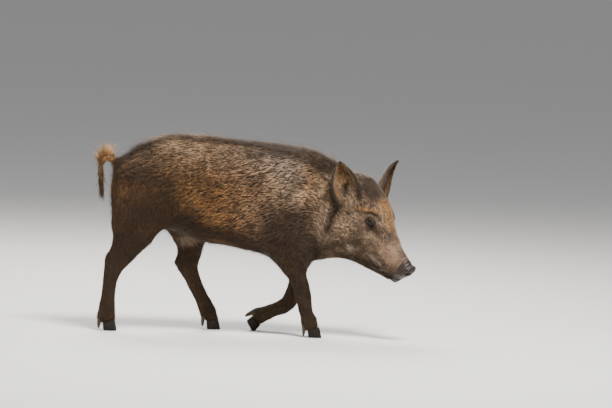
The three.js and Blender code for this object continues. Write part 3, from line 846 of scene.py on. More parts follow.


# ---- markings ------------------------------------------------------------------------------------

# The marks that colour skin and coat. dark and light are partly painted shade low on the body and painted
# light on its top; crease is painted shade in folds and grooves; hole is painted shade in the nostrils, the
# ears' openings and on the ears' rims, with the dark skin of the lids.
MARKS = ("grey", "rust", "ginger", "dark", "light", "pale", "pink", "bare", "hole", "crease")
BROW_FOLD = ((-14, 84, 12), (-4, 76, 24), (14, 63, 41), (32, 50, 52), (52, 37, 56), (66, 32, 48))
EAR_SLOT = ((-78, 72, 66), (-68, 77, 55), (-58, 83, 45))
EAR_ROOT = (-49, 88, 36)  # the thinly haired place below an ear's opening
JOWL_FOLD = ((-48, 100, 25), (-39, 114, -17), (-26, 122, -58))
FACE_FOLDS = ((BROW_FOLD, 4.5, 2.4), (JOWL_FOLD, 9, 4), (EAR_SLOT, 12, 3.5))  # with their reach and depth
FACE_FORMS = (  # in the head's own frame, left side: a middle, its reach each way, and the skin's rise there
    ((48, 44, 50), (30, 14, 12), 3.2),  # brow
    ((80, 42, 20), (18, 16, 18), -3.0),  # hollow before the eye
    ((54, 54, 8), (24, 16, 9), -2.2),  # under the eye
    ((12, 74, -8), (38, 20, 18), 3.8),  # cheekbone
    ((62, 54, -44), (34, 18, 20), -2.6),  # hollow of the cheek
    ((0, 80, -76), (40, 24, 26), 3.0),  # jowl
    ((168, 30, -42), (32, 16, 22), 2.4),  # pad the whiskers grow from
    ((128, 22, 16), (56, 9, 9), 1.8),  # edge of the nose's bridge
)


def band(points, path, radius):
    """1 along a path of places, falling smoothly to 0 a radius away."""
    share, place, _ = along_line(points, path)
    return ramp(np.linalg.norm(points - place, axis=1), radius, 0.25 * radius)


JOWL_SHADE = ((-45, 98, 25), (-39, 116, -17), (-20, 122, -60))
BRIDGE = ((32, 12, 84), (54, 4, 72), (98, 0, 40))
BROW_STRIPE = ((0, 66, 40), (20, 52, 55), (50, 33, 66), (72, 18, 60))


def face_marks(head, face):
    """The markings of the head, in its own frame and millimetres; both sides are alike.

    Face is how much of each point belongs to the head.
    """
    x, y, z = head.T
    half = folded(head)
    lids = ramp(np.linalg.norm((half - EYE_PLACE / MM) * (0.8, 1, 1), axis=1), 19, 12)
    chin = ramp(z + 70 - 0.30 * (x - 114), 0, -22) * ramp(x, 10, 50)
    nose_folds = wrinkles(x, z) * ramp(x, 190, 200) * ramp(z, -40, -25)
    muzzle = ramp(x, 100, 150) * ramp(x, 215, 195) * ramp(z - 0.3 * x, -110, -85)
    shares = {
        "ginger": (
            np.maximum(0.9 * band(half, BRIDGE, 24), 0.95 * band(half, BROW_STRIPE, 10)),
        ),
        # painted shade in the brow and jowl folds, along the mouth's line and in the nose's wrinkles
        "crease": (
            band(half, BROW_FOLD, 5),
            0.8 * band(half, JOWL_FOLD, 7),
            mouth_groove(x, y, z),
            0.8 * nose_folds,
        ),
        "dark": (
            blob(half, (56, 48, 26), (38, 26, 24)),  # round the eye
            # painted shadow under the brow, along its fold
            0.9 * band(half, BROW_FOLD, 9),
            0.7 * blob(half, (80, 40, 12), (26, 20, 20)),  # before the eye
            0.8 * blob(half, (180, 8, 8), (32, 18, 15)),  # end of the nose's bridge
            0.9 * chin,
            0.9 * band(half, JOWL_SHADE, 21),
            1.15 * blob(half, (-24, 20, 95), (80, 60, 46)),  # crown between the ears
        ),
        "light": (
            blob(half, (14, 88, -40), (56, 44, 50)),  # cheek
            blob(half, (85, 46, -12), (40, 34, 34)),  # under the eye
            blob(half, (148, 30, -14), (50, 28, 36)),  # side of the muzzle
            0.4 * ramp(x, 95, 130),
        ),
        "pale": (
            0.8 * blob(half, (50, 66, -76), (32, 22, 14)),  # behind the mouth
            0.7 * blob(half, (114, 38, -60), (36, 20, 15)),  # over the lip
        ),
        "pink": (
            0.5 * muzzle,
            blob(half, (148, 30, -14), (48, 26, 34)),  # side of the muzzle
            blob(half, (-43, 86, 28), (15, 18, 13)),  # below the ear
        ),
    }
    found = {name: face * np.clip(sum(parts), 0, 1) for name, parts in shares.items()}
    found["bare"] = face * ramp(x, 196, 208) * ramp(z + 0.3 * x, -40, -20)
    # painted shade in the ears' openings; below, painted shade in the nostrils and the dark skin of the lids
    slots = 1.3 * band(half, EAR_SLOT, 13)
    found["hole"] = np.clip(face * (lids * 0.65 + nostrils(x, y, z, MARKED_NOSTRIL)) + slots, 0, 1)
    return found


# Each nostril is painted dark as its shade within this radius.
MARKED_NOSTRIL = 8  # radius that is painted as a hole
CLOUD_BLUR = 30
NECK_STRIP = ((0.186, -0.066, 0.522), (0.191, -0.084, 0.384))  # lighter and rustier hair behind the ear


def markings(surface, weights):
    """How strongly each marking shows at each point, from 0 to 1; the skin and the coat share them.

    Places are in metres: x towards the nose, z up.
    """
    points = surface.points
    x, y, z = points.T
    cloud = surface.blurred(np.random.default_rng(SEED + 2).normal(0, 1, len(points)), CLOUD_BLUR)
    cloud = np.clip(cloud / cloud.std(), -2, 2)
    of = {name: weights[:, i] for i, name in enumerate(REGION_NAMES)}
    legs = sum(of[leg] for leg in LEGS)
    body = of["trunk"] + of["neck"] + legs * ramp(z, 0.2, 0.3)
    low_legs = legs * ramp(z, 0.32, 0.22)
    tail = of["tail"]
    side = np.abs(y - TRUNK_MIDDLE[1])
    both = np.stack([x, side, z], axis=1)
    ridge = ramp(side - 0.035 * ramp(x, -0.05, 0.15), 0.052, 0.027) * ramp(z, 0.46, 0.50)
    strip = body * band(points, NECK_STRIP, 0.06)

    found = face_marks(in_head(points), of["head"])
    # Greyer tips towards the front and the top; the rise towards the top is partly painted sheen from above.
    grizzle = np.clip(ramp(x, -0.15, 0.2) * 0.9 + ramp(z, 0.44, 0.56) * 0.4, 0, 1)
    found["grey"] = body * grizzle + of["head"] * 0.65
    found["grey"] -= strip * 0.6

    found["rust"] = body * ramp(x, 0.2, 0.0) * ramp(z, 0.60, 0.5) * 0.9 + low_legs * 0.2
    found["rust"] += (body + legs) * ramp(x, -0.30, -0.38) * ramp(z, 0.36, 0.32) * 0.4  # thigh
    found["rust"] += strip * 0.6

    elbow = 0.25 * (x - 0.1)
    # Dark lower legs; the body darkens towards its bottom: partly the belly's dark coat, partly painted shade
    # under the body.
    found["dark"] += low_legs * 0.9 + body * 0.95 * ramp(z, 0.36 - 0.1 * x, 0.285 - 0.1 * x)  # belly
    # Darker low on the rump and the hip: partly the coat's own darker colour, partly painted shade.
    found["dark"] += body * ramp(x, -0.10, -0.28) * ramp(z, 0.57, 0.48) * 0.6  # rump
    found["dark"] += body * 0.45 * ramp(x, -0.05, -0.25) * ramp(z, 0.46, 0.36)  # hip
    found["dark"] += body * ridge * (0.9 + 0.1 * ramp(x, -0.16, 0.05))
    found["dark"] += body * 0.18 * cloud
    found["light"] -= body * 0.2 * cloud
    # Painted shade in the hollow of the hip, and behind the elbow, where the coat is also darker.
    found["dark"] += body * 0.4 * blob(both, (-0.29, 0.09, 0.40), (0.10, 0.12, 0.08))  # hollow of the hip
    found["dark"] += body * 0.6 * blob(both, (0.09, 0.10, 0.37), (0.11, 0.13, 0.08))  # behind the elbow
    # Darker low on the shoulder down to the elbow: partly the legs' dark coat reaching up, partly painted
    # shade under the body.
    found["dark"] += body * 0.85 * ramp(z, 0.43 + elbow, 0.34 + elbow) * ramp(x, -0.02, 0.08)  # shoulder
    found["dark"] += 0.7 * blob(points, (0.17, -0.05, 0.27), (0.08, 0.12, 0.07))  # breast
    found["dark"] -= 0.55 * blob(both, (-0.40, 0.10, 0.31), (0.09, 0.14, 0.09)) * (body + legs)  # thigh
    # Painted light: the body forward of the rump grows lighter towards its top, as if lit from above; the
    # strip behind the ear is lighter hair.
    high = 0.45 * ramp(z, 0.34, 0.46) + 0.9 * ramp(z, 0.46, 0.53)
    found["light"] += body * ramp(x, -0.38, -0.15) * high + strip
    groin = blob(points, (-0.225, TRUNK_MIDDLE[1], 0.285), (0.065, 0.12, 0.03))
    found["pale"] += 0.7 * groin * body

    found["ginger"] += tail * ramp(z, 0.48, 0.53) * 0.8
    found["pink"] += tail * ramp(z, 0.47, 0.51) * ramp(z, 0.585, 0.56) * 0.6
    found["light"] += tail * ramp(z, 0.47, 0.51)
    found["dark"] += tail * ramp(z, 0.505, 0.465)
    return {name: np.clip(value, 0, 1) for name, value in found.items()}


EAR_FACES = {"right": (0.65, -0.56, 0.5), "left": (0.65, 0.56, 0.5)}  # where each ear's hollow looks


def ear_leaf(side, points):
    """Where points lie on an ear's cupped leaf.

    The share of its length, the share across it from rim to rim, and how far in front of its middle sheet.
    """
    root, tip = ear_line(side)
    rise = unit(tip - root)
    faces = HEAD_AXES @ np.array(EAR_FACES[side])
    faces = unit(faces - rise * (faces @ rise))
    ahead = unit(HEAD_AXES[:, 0] - rise * (HEAD_AXES[:, 0] @ rise))
    across = np.cross(rise, faces)
    across *= np.sign(across @ ahead)
    along = (points - root) @ rise / EAR_LENGTH
    t = np.clip(along, 0, 1)
    half = EAR_HALF * np.where(t < 0.3, 0.78 + 0.22 * t / 0.3, 1 - (np.abs(t - 0.3) / 0.7) ** 2.2)
    bend = np.radians(190 - 130 * t**0.6)
    radius = np.maximum(half, 0.05 * EAR_HALF) / np.sin(np.minimum(bend, math.pi) / 2)
    depth = 0.6 * radius - (points - root) @ faces
    wide = (points - root) @ across
    return along, np.arctan2(wide, depth) / (bend / 2), radius - np.hypot(wide, depth)


def dress_ears(surface, weights, shape, marks):
    """Inside an ear: brown streaky hair between dark rims; its back is plain and dark."""
    half = folded(in_head(surface.points))
    for side in SIDES:
        on_ear = ramp(weights[:, REGION_NAMES.index(f"ear_{side}")], 0.1, 0.6)
        along, across, before = ear_leaf(side, surface.points)
        rim = np.clip(ramp(np.abs(across), 0.76, 0.95) + ramp(along, 0.86, 0.97), 0, 1)
        front = ramp(before, -0.5 * MM, 1.5 * MM)
        inside = on_ear * front * (1 - rim)
        # No painted shade on the back of an ear.
        marks["hole"] = marks["hole"] * (1 - on_ear * (1 - front))
        root = on_ear * blob(half, EAR_ROOT, (21, 24, 15))
        for name, change in (
            ("dark", on_ear * 0.95 - inside * 0.75 - root),
            ("pink", root),
            ("rust", inside * 0.5),
            ("grey", -inside * 0.3),
            ("light", inside * 0.25),
            # the rims are painted dark: their own dark hair, and painted shade along their edges
            ("hole", on_ear * rim * 0.6),
        ):
            marks[name] = np.clip(marks[name] + change, 0, 1)
        shape["length"] = shape["length"] + inside * 5 + on_ear * rim * 4
        shape["stand"] = shape["stand"] + inside * 0.2 + on_ear * rim * 0.7


EAR_HOLLOW_DEEP = 2.2 * MM
EAR_RIM_RISE = 1.6 * MM


def sculpt_ears(surface, weights):
    """Hollows each ear and thickens its rim."""
    normals = surface.normals()
    for side in SIDES:
        on_ear = ramp(weights[:, REGION_NAMES.index(f"ear_{side}")], 0.3, 0.8)
        _, across, before = ear_leaf(side, surface.points)
        hollow = on_ear * ramp(before, 0, 1.5 * MM) * ramp(np.abs(across), 0.8, 0.3)
        rim = on_ear * ramp(before, -1.5 * MM, 1.0 * MM) * ramp(np.abs(across), 0.76, 0.92)
        surface.points += normals * (EAR_RIM_RISE * rim - EAR_HOLLOW_DEEP * hollow)[:, None]


# ---- unwrap --------------------------------------------------------------------------------------

SHEET_ROWS = (  # the unwrap's tiles from the bottom row up: each row's height, then its regions' widths
    (0.34, (("trunk", 1.0),)),
    (0.22, (("neck", 0.45), ("head", 0.55))),
    (0.24, (("hind_right", 0.25), ("hind_left", 0.25), ("fore_right", 0.25), ("fore_left", 0.25))),
    (0.20, (("ear_right", 0.4), ("ear_left", 0.4), ("tail", 0.2))),
)
TILE_EDGE = 0.006
TILE_PAST = 0.25  # room in a tile before and after the region's line, as a share of it


def tiles():
    """Each region's tile on the unwrap: its corner and its size."""
    found = {}
    v = 0
    for height, row in SHEET_ROWS:
        u = 0
        for name, width in row:
            inner = (width - 2 * TILE_EDGE, height - 2 * TILE_EDGE)
            found[name] = np.array([u + TILE_EDGE, v + TILE_EDGE]), np.array(inner)
            u += width
        v += height
    return found


TILES = tiles()


def unwrapped(points, own):
    """Where each point lies in its region's tile: its turn about the region's line, and its way along."""
    flat = np.zeros((len(points), 2))
    for index, name in enumerate(REGION_NAMES):
        mine = np.flatnonzero(own == index)
        if not len(mine):
            continue
        line = np.array(REGIONS[name]["line"], float)
        share, place, heading = along_line(points[mine], line)
        chord = unit(line[-1] - line[0])
        up = unit(np.cross(chord, (0, 1, 0.01)))
        side = np.cross(up, chord)
        away = points[mine] - place
        turn = np.arctan2(away @ side, -away @ up) / (2 * math.pi) + 0.5
        past = (points[mine] - line[0]) @ chord / np.linalg.norm(line[-1] - line[0])
        flat[mine, 0] = turn
        flat[mine, 1] = np.clip((past + TILE_PAST) / (1 + 2 * TILE_PAST), 0, 1)
    return flat


def on_sheet(flat, own):
    """Places in the tiles of their regions as places on the whole map."""
    corner = np.array([TILES[name][0] for name in REGION_NAMES])[own]
    size = np.array([TILES[name][1] for name in REGION_NAMES])[own]
    return corner + flat * size


def unwrap_skin(mesh, surface, own):
    """The skin's map: each triangle in the tile of its region, not torn where a tile's sides meet."""
    region = np.max(own[surface.triangles], axis=1)
    corners = surface.points[surface.triangles.ravel()]
    each = np.repeat(region, 3)
    flat = unwrapped(corners, each).reshape(-1, 3, 2)
    wide = np.ptp(flat[:, :, 0], axis=1) > 0.5
    flat[wide, :, 0] = np.where(flat[wide, :, 0] < 0.5, 1.0, flat[wide, :, 0])
    put_map(mesh, on_sheet(flat.reshape(-1, 2), each))


def put_map(mesh, places):
    """Stores the place of each corner of each face."""
    layer = mesh.uv_layers.new(name="OFBake")
    layer.uv.foreach_set("vector", np.ascontiguousarray(places, np.float32).ravel())


# ---- coat ----------------------------------------------------------------------------------------


class Roots:
    """Places on the skin that tufts grow from."""

    def __init__(self, values, own, draw):
        self.values = values
        self.own = own
        self.draw = draw
        self.count = len(own)

    @classmethod
    def scattered(cls, surface, values, density, draw):
        """Even over the skin: density is tufts a square metre at each point, values its arrays by name."""
        weight = surface.areas() * density[surface.triangles].mean(axis=1)
        total = weight.sum()
        count = int(total)
        upto = np.cumsum(weight)
        picks = (np.arange(count) + draw.random(count)) * (total / max(count, 1))
        face = np.minimum(np.searchsorted(upto, picks), len(weight) - 1)
        a = draw.random(count)
        b = draw.random(count)
        over = a + b > 1
        a[over], b[over] = 1 - a[over], 1 - b[over]
        shares = np.stack([1 - a - b, a, b], axis=1)
        corners = surface.triangles[face]

        def read(value):
            """The value of each root, mixed from its triangle's corners."""
            picked = value[corners]
            return np.sum(picked * (shares[:, :, None] if picked.ndim == 3 else shares), axis=1)

        found = {name: read(value) for name, value in values.items() if name != "own"}
        return cls(found, values["own"][corners[:, 0]], draw)

    def __getitem__(self, name):
        return self.values[name]

    def part(self, chosen):
        """Some of the roots, as one more set."""
        values = {name: value[chosen] for name, value in self.values.items()}
        return Roots(values, self.own[chosen], self.draw)

    def leaders(self, members):
        """For each root the nearest of a few chosen ones, which its small clump gathers round."""
        chosen = self.draw.choice(self.count, max(self.count // members, 1), replace=False)
        tree = KDTree(len(chosen))
        for root, place in zip(chosen.tolist(), self["point"][chosen].tolist()):
            tree.insert(place, root)
        tree.balance()
        return np.array([tree.find(place)[1] for place in self["point"].tolist()])


GUARD_LONG, GUARD_WIDE, GUARD_STEEP = 1.4, 0.6, 1.7  # a guard hair against its neighbours
ROOT_DEEP = 0.4 * MM
STEEPEST = 1.15  # the largest angle between a tuft and the skin


def tuft_points(roots, coat, bent=True):
    """The corners of each tuft, and its clump's shade.

    A tuft has a ring of three corners at its root, one more half way if it bends, and its tip.
    """
    draw, count = roots.draw, roots.count
    lead = roots.leaders(coat.clump)
    normal = unit(roots["normal"])
    flow = unit(roots["flow"] - normal * np.sum(roots["flow"] * normal, axis=1, keepdims=True))
    side = np.cross(normal, flow)
    stray = draw.normal(0, coat.unruly, count) * 0.9 + draw.normal(0, coat.unruly, count)[lead] * 0.4
    flow = flow * np.cos(stray)[:, None] + side * np.sin(stray)[:, None]
    side = np.cross(normal, flow)
    guard = draw.random(count) < coat.guard
    long = roots["length"] * MM * draw.uniform(0.75, 1.25, count) * np.where(guard, GUARD_LONG, 1)
    wide = roots["width"] * MM * draw.uniform(0.65, 1.35, count) * np.where(guard, GUARD_WIDE, 1)
    rise = coat.lift * roots["stand"] * draw.uniform(0.55, 1.45, count)
    rise = np.minimum(rise * np.where(guard, GUARD_STEEP, 1), STEEPEST)
    start = roots["point"] - normal * ROOT_DEEP

    def ahead(angle):
        """The way out of the skin at an angle to it."""
        return flow * np.cos(angle)[:, None] + normal * np.sin(angle)[:, None]

    def ring(at, width, thick):
        """Two corners beside a place and one above it."""
        half = side * (width / 2)[:, None]
        return [at - half, at + half, at + normal * thick[:, None]]

    half_way = start + ahead(rise) * (long * 0.5)[:, None]
    tip = half_way + ahead(rise * (0.15 if bent else 0.8)) * (long * 0.5)[:, None]
    gather = (tip[lead] - tip) * coat.gather
    gather -= normal * np.sum(gather * normal, axis=1, keepdims=True)
    reach = np.linalg.norm(gather, axis=1)
    gather *= np.minimum(1, 0.3 * long / np.maximum(reach, 1e-9))[:, None]
    tip = tip + gather
    half_way = half_way + gather * 0.3
    clump_shade = draw.random(count)[lead]
    if not bent:
        return np.stack([*ring(start, wide, wide * 0.35), tip], axis=1), clump_shade
    middle_ring = ring(half_way, wide * 0.8, wide * 0.26)
    return np.stack([*ring(start, wide, wide * 0.3), *middle_ring, tip], axis=1), clump_shade


BENT_FACES = np.array(
    [(0, 2, 1)]
    + [(0, 1, 4), (0, 4, 3), (1, 2, 5), (1, 5, 4), (2, 0, 3), (2, 3, 5)]
    + [(3, 4, 6), (4, 5, 6), (5, 3, 6)]
)
BENT_ALONG = np.array([0, 0, 0, 0.5, 0.5, 0.5, 1])
BENT_ACROSS = np.array([-1, 1, 0, -1, 1, 0, 0])
BENT = (BENT_FACES, BENT_ALONG, BENT_ACROSS)
PLAIN_FACES = np.array([(0, 2, 1), (0, 1, 3), (1, 2, 3), (2, 0, 3)])
PLAIN_ALONG = np.array([0, 0, 0, 1])
PLAIN_ACROSS = np.array([-1, 1, 0, 0])
PLAIN = (PLAIN_FACES, PLAIN_ALONG, PLAIN_ACROSS)
PATCH = 0.003  # a tuft's patch on the unwrap, from side to side


CLUMP_SHADE = 0.15  # how much of a tuft's shade it shares with its clump


def tuft_mesh(name, roots, coat, bent=True):
    """Many closed tufts as one mesh, each with its root's markings, its own shade and its own patch."""
    corners, clump_shade = tuft_points(roots, coat, bent)
    count, size = corners.shape[:2]
    faces, along, across = BENT if bent else PLAIN
    triangles = (np.arange(count)[:, None, None] * size + faces).reshape(-1, 3)
    mesh = made_mesh(name, corners.reshape(-1, 3), triangles)
    each = {mark: np.repeat(roots[mark], size) for mark in MARKS}
    shade = roots.draw.random(count) * (1 - CLUMP_SHADE) + clump_shade * CLUMP_SHADE
    keep_values(mesh, along=np.tile(along, count), shade=np.repeat(shade, size), **each)
    patch = np.stack([across * 0.5, along - 0.5], axis=1) * PATCH
    places = on_sheet(unwrapped(roots["point"], roots.own), roots.own)[:, None] + patch
    put_map(mesh, places.reshape(-1, 2)[triangles.ravel()])
    return mesh


FINE_WIDTH = 1.3  # tufts narrower than this, in millimetres, are plain ones
TUFT_SHARE = 0.6  # how much of its box a tuft covers
MOST_BENT, MOST_PLAIN = 19000, 47000  # tufts in one piece


class BOAR_OT_coat(bpy.types.Operator):
    """Grows the coat from the skin: bent tufts on the body, short fine ones on the face and feet"""

    bl_idname = "boar.coat"
    bl_label = "Coat"

    def execute(self, context):
        coat = context.scene.boar_coat
        skin = bpy.data.objects.get("skin")
        if skin is None:
            raise RuntimeError("the skin is made before the coat")
        draw = np.random.default_rng(SEED)
        surface = Surface(*arrays(skin.data))
        values = coat_plan(surface, skin.data)
        fine = values["width"] < FINE_WIDTH
        cover = np.where(fine, coat.fine_cover, coat.cover)
        density = cover / (TUFT_SHARE * values["length"] * values["width"] * MM * MM)
        hairy = ramp(values["bare"], 0.6, 0.3) * open_skin(surface.points) * (1 - 0.55 * values["pink"])
        material = coat_material(context.scene)
        for name, chosen, bent in (("body", ~fine, True), ("fine", fine, False)):
            roots = Roots.scattered(surface, values, density * hairy * chosen, draw)
            self.grow(name, roots, coat, material, bent)

        whiskers = coat.whiskers * whisker_places(surface.points)
        roots = single_hairs(surface, values, whiskers, draw, long=(18, 34), wide=0.6, stand=(1.6, 2.6))
        roots.values["pale"] = np.where(draw.random(roots.count) < 0.6, 0.9, 0.0)
        self.grow("whisker", roots, coat, material, True)

        guards = coat.guards * guard_places(values)
        roots = single_hairs(surface, values, guards, draw, long=(26, 40), wide=0.55, stand=(1.3, 2.1))
        roots.values["dark"] = np.where(draw.random(roots.count) < 0.8, 0.95, roots["dark"])
        self.grow("guard", roots, coat, material, True)
        return {"FINISHED"}

    def grow(self, name, roots, coat, material, bent):
        """Makes the pieces of one kind of coat, each with fewer triangles than one piece may have."""
        most = MOST_BENT if bent else MOST_PLAIN
        order = np.argsort(roots["point"][:, 0], kind="stable")
        pieces = math.ceil(roots.count / most)
        for place, chosen in enumerate(np.array_split(order, pieces), 1):
            mesh = tuft_mesh(f"coat_{name}_{place}", roots.part(chosen), coat, bent)
            shown(mesh.name, mesh, material)


def coat_plan(surface, mesh):
    """The values that the coat grows by at each point of the skin."""
    names = ("flow", "length", "width", "stand", "own", *MARKS)
    values = dict(zip(names, kept_values(mesh, *names)))
    values["own"] = values["own"].astype(int)
    values["point"] = surface.points
    values["normal"] = surface.normals()
    crest(surface.points, values)
    near_eye = np.linalg.norm(folded(in_head(surface.points)) - EYE_PLACE / MM, axis=1)
    values["length"] = values["length"] * (0.45 + 0.55 * ramp(near_eye, 15, 34)) * (1 + 0.9 * values["pale"])
    values["length"] = values["length"] * (1 - 0.45 * ramp(values["hole"], 0.2, 0.7))
    values["stand"] = values["stand"] * (1 + 0.7 * values["pale"])
    return values


def single_hairs(surface, values, density, draw, long, wide, stand):
    """Roots of thin hairs that stand apart; long and wide are in millimetres."""
    roots = Roots.scattered(surface, values, density, draw)
    roots.values["length"] = draw.uniform(*long, roots.count)
    roots.values["width"] = np.full(roots.count, wide)
    roots.values["stand"] = draw.uniform(*stand, roots.count)
    return roots


LID_REACH = (14, 8.5)  # half the hairless place over an eye, in millimetres along the opening and up


def open_skin(points):
    """0 on the lids, where no hair grows, and 1 elsewhere."""
    head = in_head(points)
    hairless = np.zeros(len(points))
    for hand in (-1, 1):
        away = head - EYE_PLACE / MM * (1, hand, 1)
        out, forward, up = eye_axes(hand)
        across = np.hypot((away @ forward) / LID_REACH[0], (away @ up - 0.5) / LID_REACH[1])
        hairless += across + (away @ out < 0) < 1
    return 1 - np.clip(hairless, 0, 1)


def whisker_places(points):
    """1 where single long hairs grow: on the lips and chin, over the eyes and below the jaw."""
    half = folded(in_head(points))
    found = blob(half, (160, 28, -60), (44, 22, 26)) + 0.7 * blob(half, (190, 10, -84), (40, 22, 16))
    found += 0.6 * blob(half, (36, 52, 56), (26, 16, 10)) + 0.8 * blob(half, (60, 30, -110), (70, 46, 26))
    return np.clip(found, 0, 1)


def guard_places(values):
    """1 where long hairs stand out of the outline: on the back, belly, rump and backs of the thighs."""
    normal = values["normal"]
    body = ramp(values["width"], 1.28, 1.36)
    high = ramp(normal[:, 2], 0.6, 0.9) + 0.7 * ramp(-normal[:, 2], 0.4, 0.8)
    return body * np.clip(high + ramp(-normal[:, 0], 0.5, 0.85), 0, 1)


def crest(points, values):
    """Makes the coat longer and steeper along the back."""
    _, y, z = points.T
    ridge = ramp(np.abs(y - TRUNK_MIDDLE[1]), 0.045, 0.012) * ramp(z, 0.5, 0.54)
    values["stand"] = values["stand"] * (1 + 0.8 * ridge)
    values["length"] = values["length"] * (1 + 0.5 * ridge)


# ---- materials of skin and coat ------------------------------------------------------------------


# Painted shade: the skin's colour in creases.
CREASE_SHADE_SKIN = (0.010, 0.007, 0.006)
# Painted shade in the nostrils and the ears' openings, and the dark skin of the lids and the ears' rims.
HOLE_SHADE_AND_RIM_SKIN = (0.006, 0.004, 0.003)


def marked(shader, coat, tip_shade, odd):
    """The coat's colour from its markings; tip_shade is 0 for a dark bristle and 1 for a pale one.

    Odd is a number from 0 to 1 that tells one bristle from the next.
    """
    mark = {name: shader.attribute(name) for name in MARKS}
    clumps = shader.noise(40, 4)
    patches = shader.step(shader.noise(15, 3), 0.36, 0.66)
    tip = shader.mix(mark["rust"] * (0.35 + 0.5 * shader.step(clumps, 0.30, 0.65)), coat.gold, coat.rust)
    tip = shader.mix(mark["grey"] * 0.75, tip, coat.grey)
    tip = shader.mix(mark["ginger"] * shader.step(odd, 0.20, 0.50), tip, coat.ginger)
    tip = shader.mix(mark["pale"] * shader.step(odd, 0.25, 0.45), tip, coat.pale)
    # light and dark also carry painted light on the top of the body and painted shade low on it.
    share = tip_shade * (0.64 + mark["light"] * 0.36) * (1 - mark["dark"] * 0.85)
    share = share * (0.34 + 0.55 * patches + 0.55 * shader.step(clumps, 0.36, 0.62))
    share = share + mark["ginger"] * shader.step(odd, 0.30, 0.60) * 0.35
    share = share + mark["pale"] * shader.step(odd, 0.35, 0.60) * 0.8
    made = shader.mix(share, coat.brown, tip)
    # Painted shade: hair in holes and creases goes over to the hollow colour.
    return shader.mix(mark["hole"] * 0.92 + mark["crease"] * 0.75, made, coat.hollow)


def coat_material(scene):
    """Ringed bristles: dark at the root, pale below the tip, some darker all along."""
    shader = Shader("bristles")
    coat = scene.boar_coat
    along = shader.attribute("along")
    shade = shader.attribute("shade")
    pale = 0.13 + 0.78 * shader.step(shade, 0.36, 0.68)
    ringed = shader.step(along, 0.20, 0.50) * (1 - shader.step(along, 0.86, 1.0) * 0.6)
    hair = marked(shader, coat, pale * ringed, shade)
    deep = shader.step(along, -0.08, 0.36) + shader.attribute("pink") * 0.4
    hair = shader.mix(deep, coat.root, hair)
    return shader.finish(Base_Color=hair, Roughness=0.46, Specular_IOR_Level=0.2)


def skin_material(scene):
    """Dark skin with the coat's markings, pale on the muzzle, bare and pored on the nose."""
    shader = Shader("hide")
    skin = scene.boar_skin
    coat = scene.boar_coat
    fine = shader.noise(900, 3)
    streaks = shader.noise(420, 2)
    hide = marked(shader, coat, shader.step(streaks, 0.35, 0.75) * 0.5, streaks * 0.8)
    hide = shader.mix(0.6, hide, coat.root)
    hide = shader.mix(shader.attribute("pink") * 0.7, hide, skin.pink)
    pores = shader.node("ShaderNodeTexVoronoi", {"feature": "F1"}, Vector=shader.place(), Scale=520)
    bare = shader.attribute("bare")
    worn = shader.step(shader.noise(70, 4), 0.40, 0.8)
    hide = shader.mix(bare, hide, shader.mix(worn * 0.22, skin.bare, skin.pink))
    # Painted shade in creases and holes; the same darkens the lids' skin.
    hide = shader.mix(shader.attribute("crease") * 0.8, hide, CREASE_SHADE_SKIN)
    hide = shader.mix(shader.attribute("hole") * 0.93, hide, HOLE_SHADE_AND_RIM_SKIN)
    normal = shader.bump(fine * 0.6 + pores * 0.8 * bare, 0.5, 0.6 * MM)
    rough = 0.72 - bare * 0.3
    return shader.finish(Base_Color=hide, Roughness=rough, Normal=normal, Specular_IOR_Level=0.28)


# ---- eyes and horn -------------------------------------------------------------------------------


IRIS_STREAK = (0.022, 0.010, 0.005)
PUPIL = (0.002, 0.002, 0.002)
EYE_RIM = (0.018, 0.012, 0.010)
DRY_MUD = (0.09, 0.07, 0.05)


def eye_material(scene):
    """A black pupil in a dark brown ring; ring is the angle from the middle of the eye's front."""
    shader = Shader("eye")
    ring = shader.attribute("ring")
    iris = shader.mix(shader.noise(1500, 2), scene.boar_horn.eye, IRIS_STREAK)
    inner = shader.mix(shader.step(ring, 0.36, 0.44), PUPIL, iris)
    whole = shader.mix(shader.step(ring, 0.70, 0.80), inner, EYE_RIM)
    return shader.finish(Base_Color=whole, Roughness=0.08, Specular_IOR_Level=0.24)


BALL_SIZE = 0.985  # the eyeball against its solid
CORNEA_RISE = 0.05  # how far the clear front stands out, as a share of the ball


class BOAR_OT_eyes(bpy.types.Operator):
    """Round eyes with a slightly raised clear front, a dark ring and a pupil"""

    bl_idname = "boar.eyes"
    bl_label = "Eyes"

    def execute(self, context):
        material = eye_material(context.scene)
        for side, hand in SIDES.items():
            low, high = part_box(f"eye_{side}")
            centre, radius = (low + high) / 2, (high.x - low.x) / 2
            work = bmesh.new()
            bmesh.ops.create_icosphere(work, subdivisions=5, radius=1)
            mesh = bpy.data.meshes.new(f"eye_{side}_ball")
            work.to_mesh(mesh)
            work.free()
            points, triangles = arrays(mesh)
            front = points @ (HEAD_AXES @ eye_axes(hand)[0])
            ring = np.arccos(np.clip(front, -1, 1))
            bulge = 1 + CORNEA_RISE * ramp(ring, 0.62, 0.1)
            points = np.array(centre) + points * (radius * BALL_SIZE * bulge)[:, None]
            mesh = made_mesh(f"eye_{side}_ball", points, triangles)
            keep_values(mesh, ring=ring)
            eye = shown(f"eyeball_{side}", mesh, material)
            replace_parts(eye, f"eye_{side}")
        return {"FINISHED"}


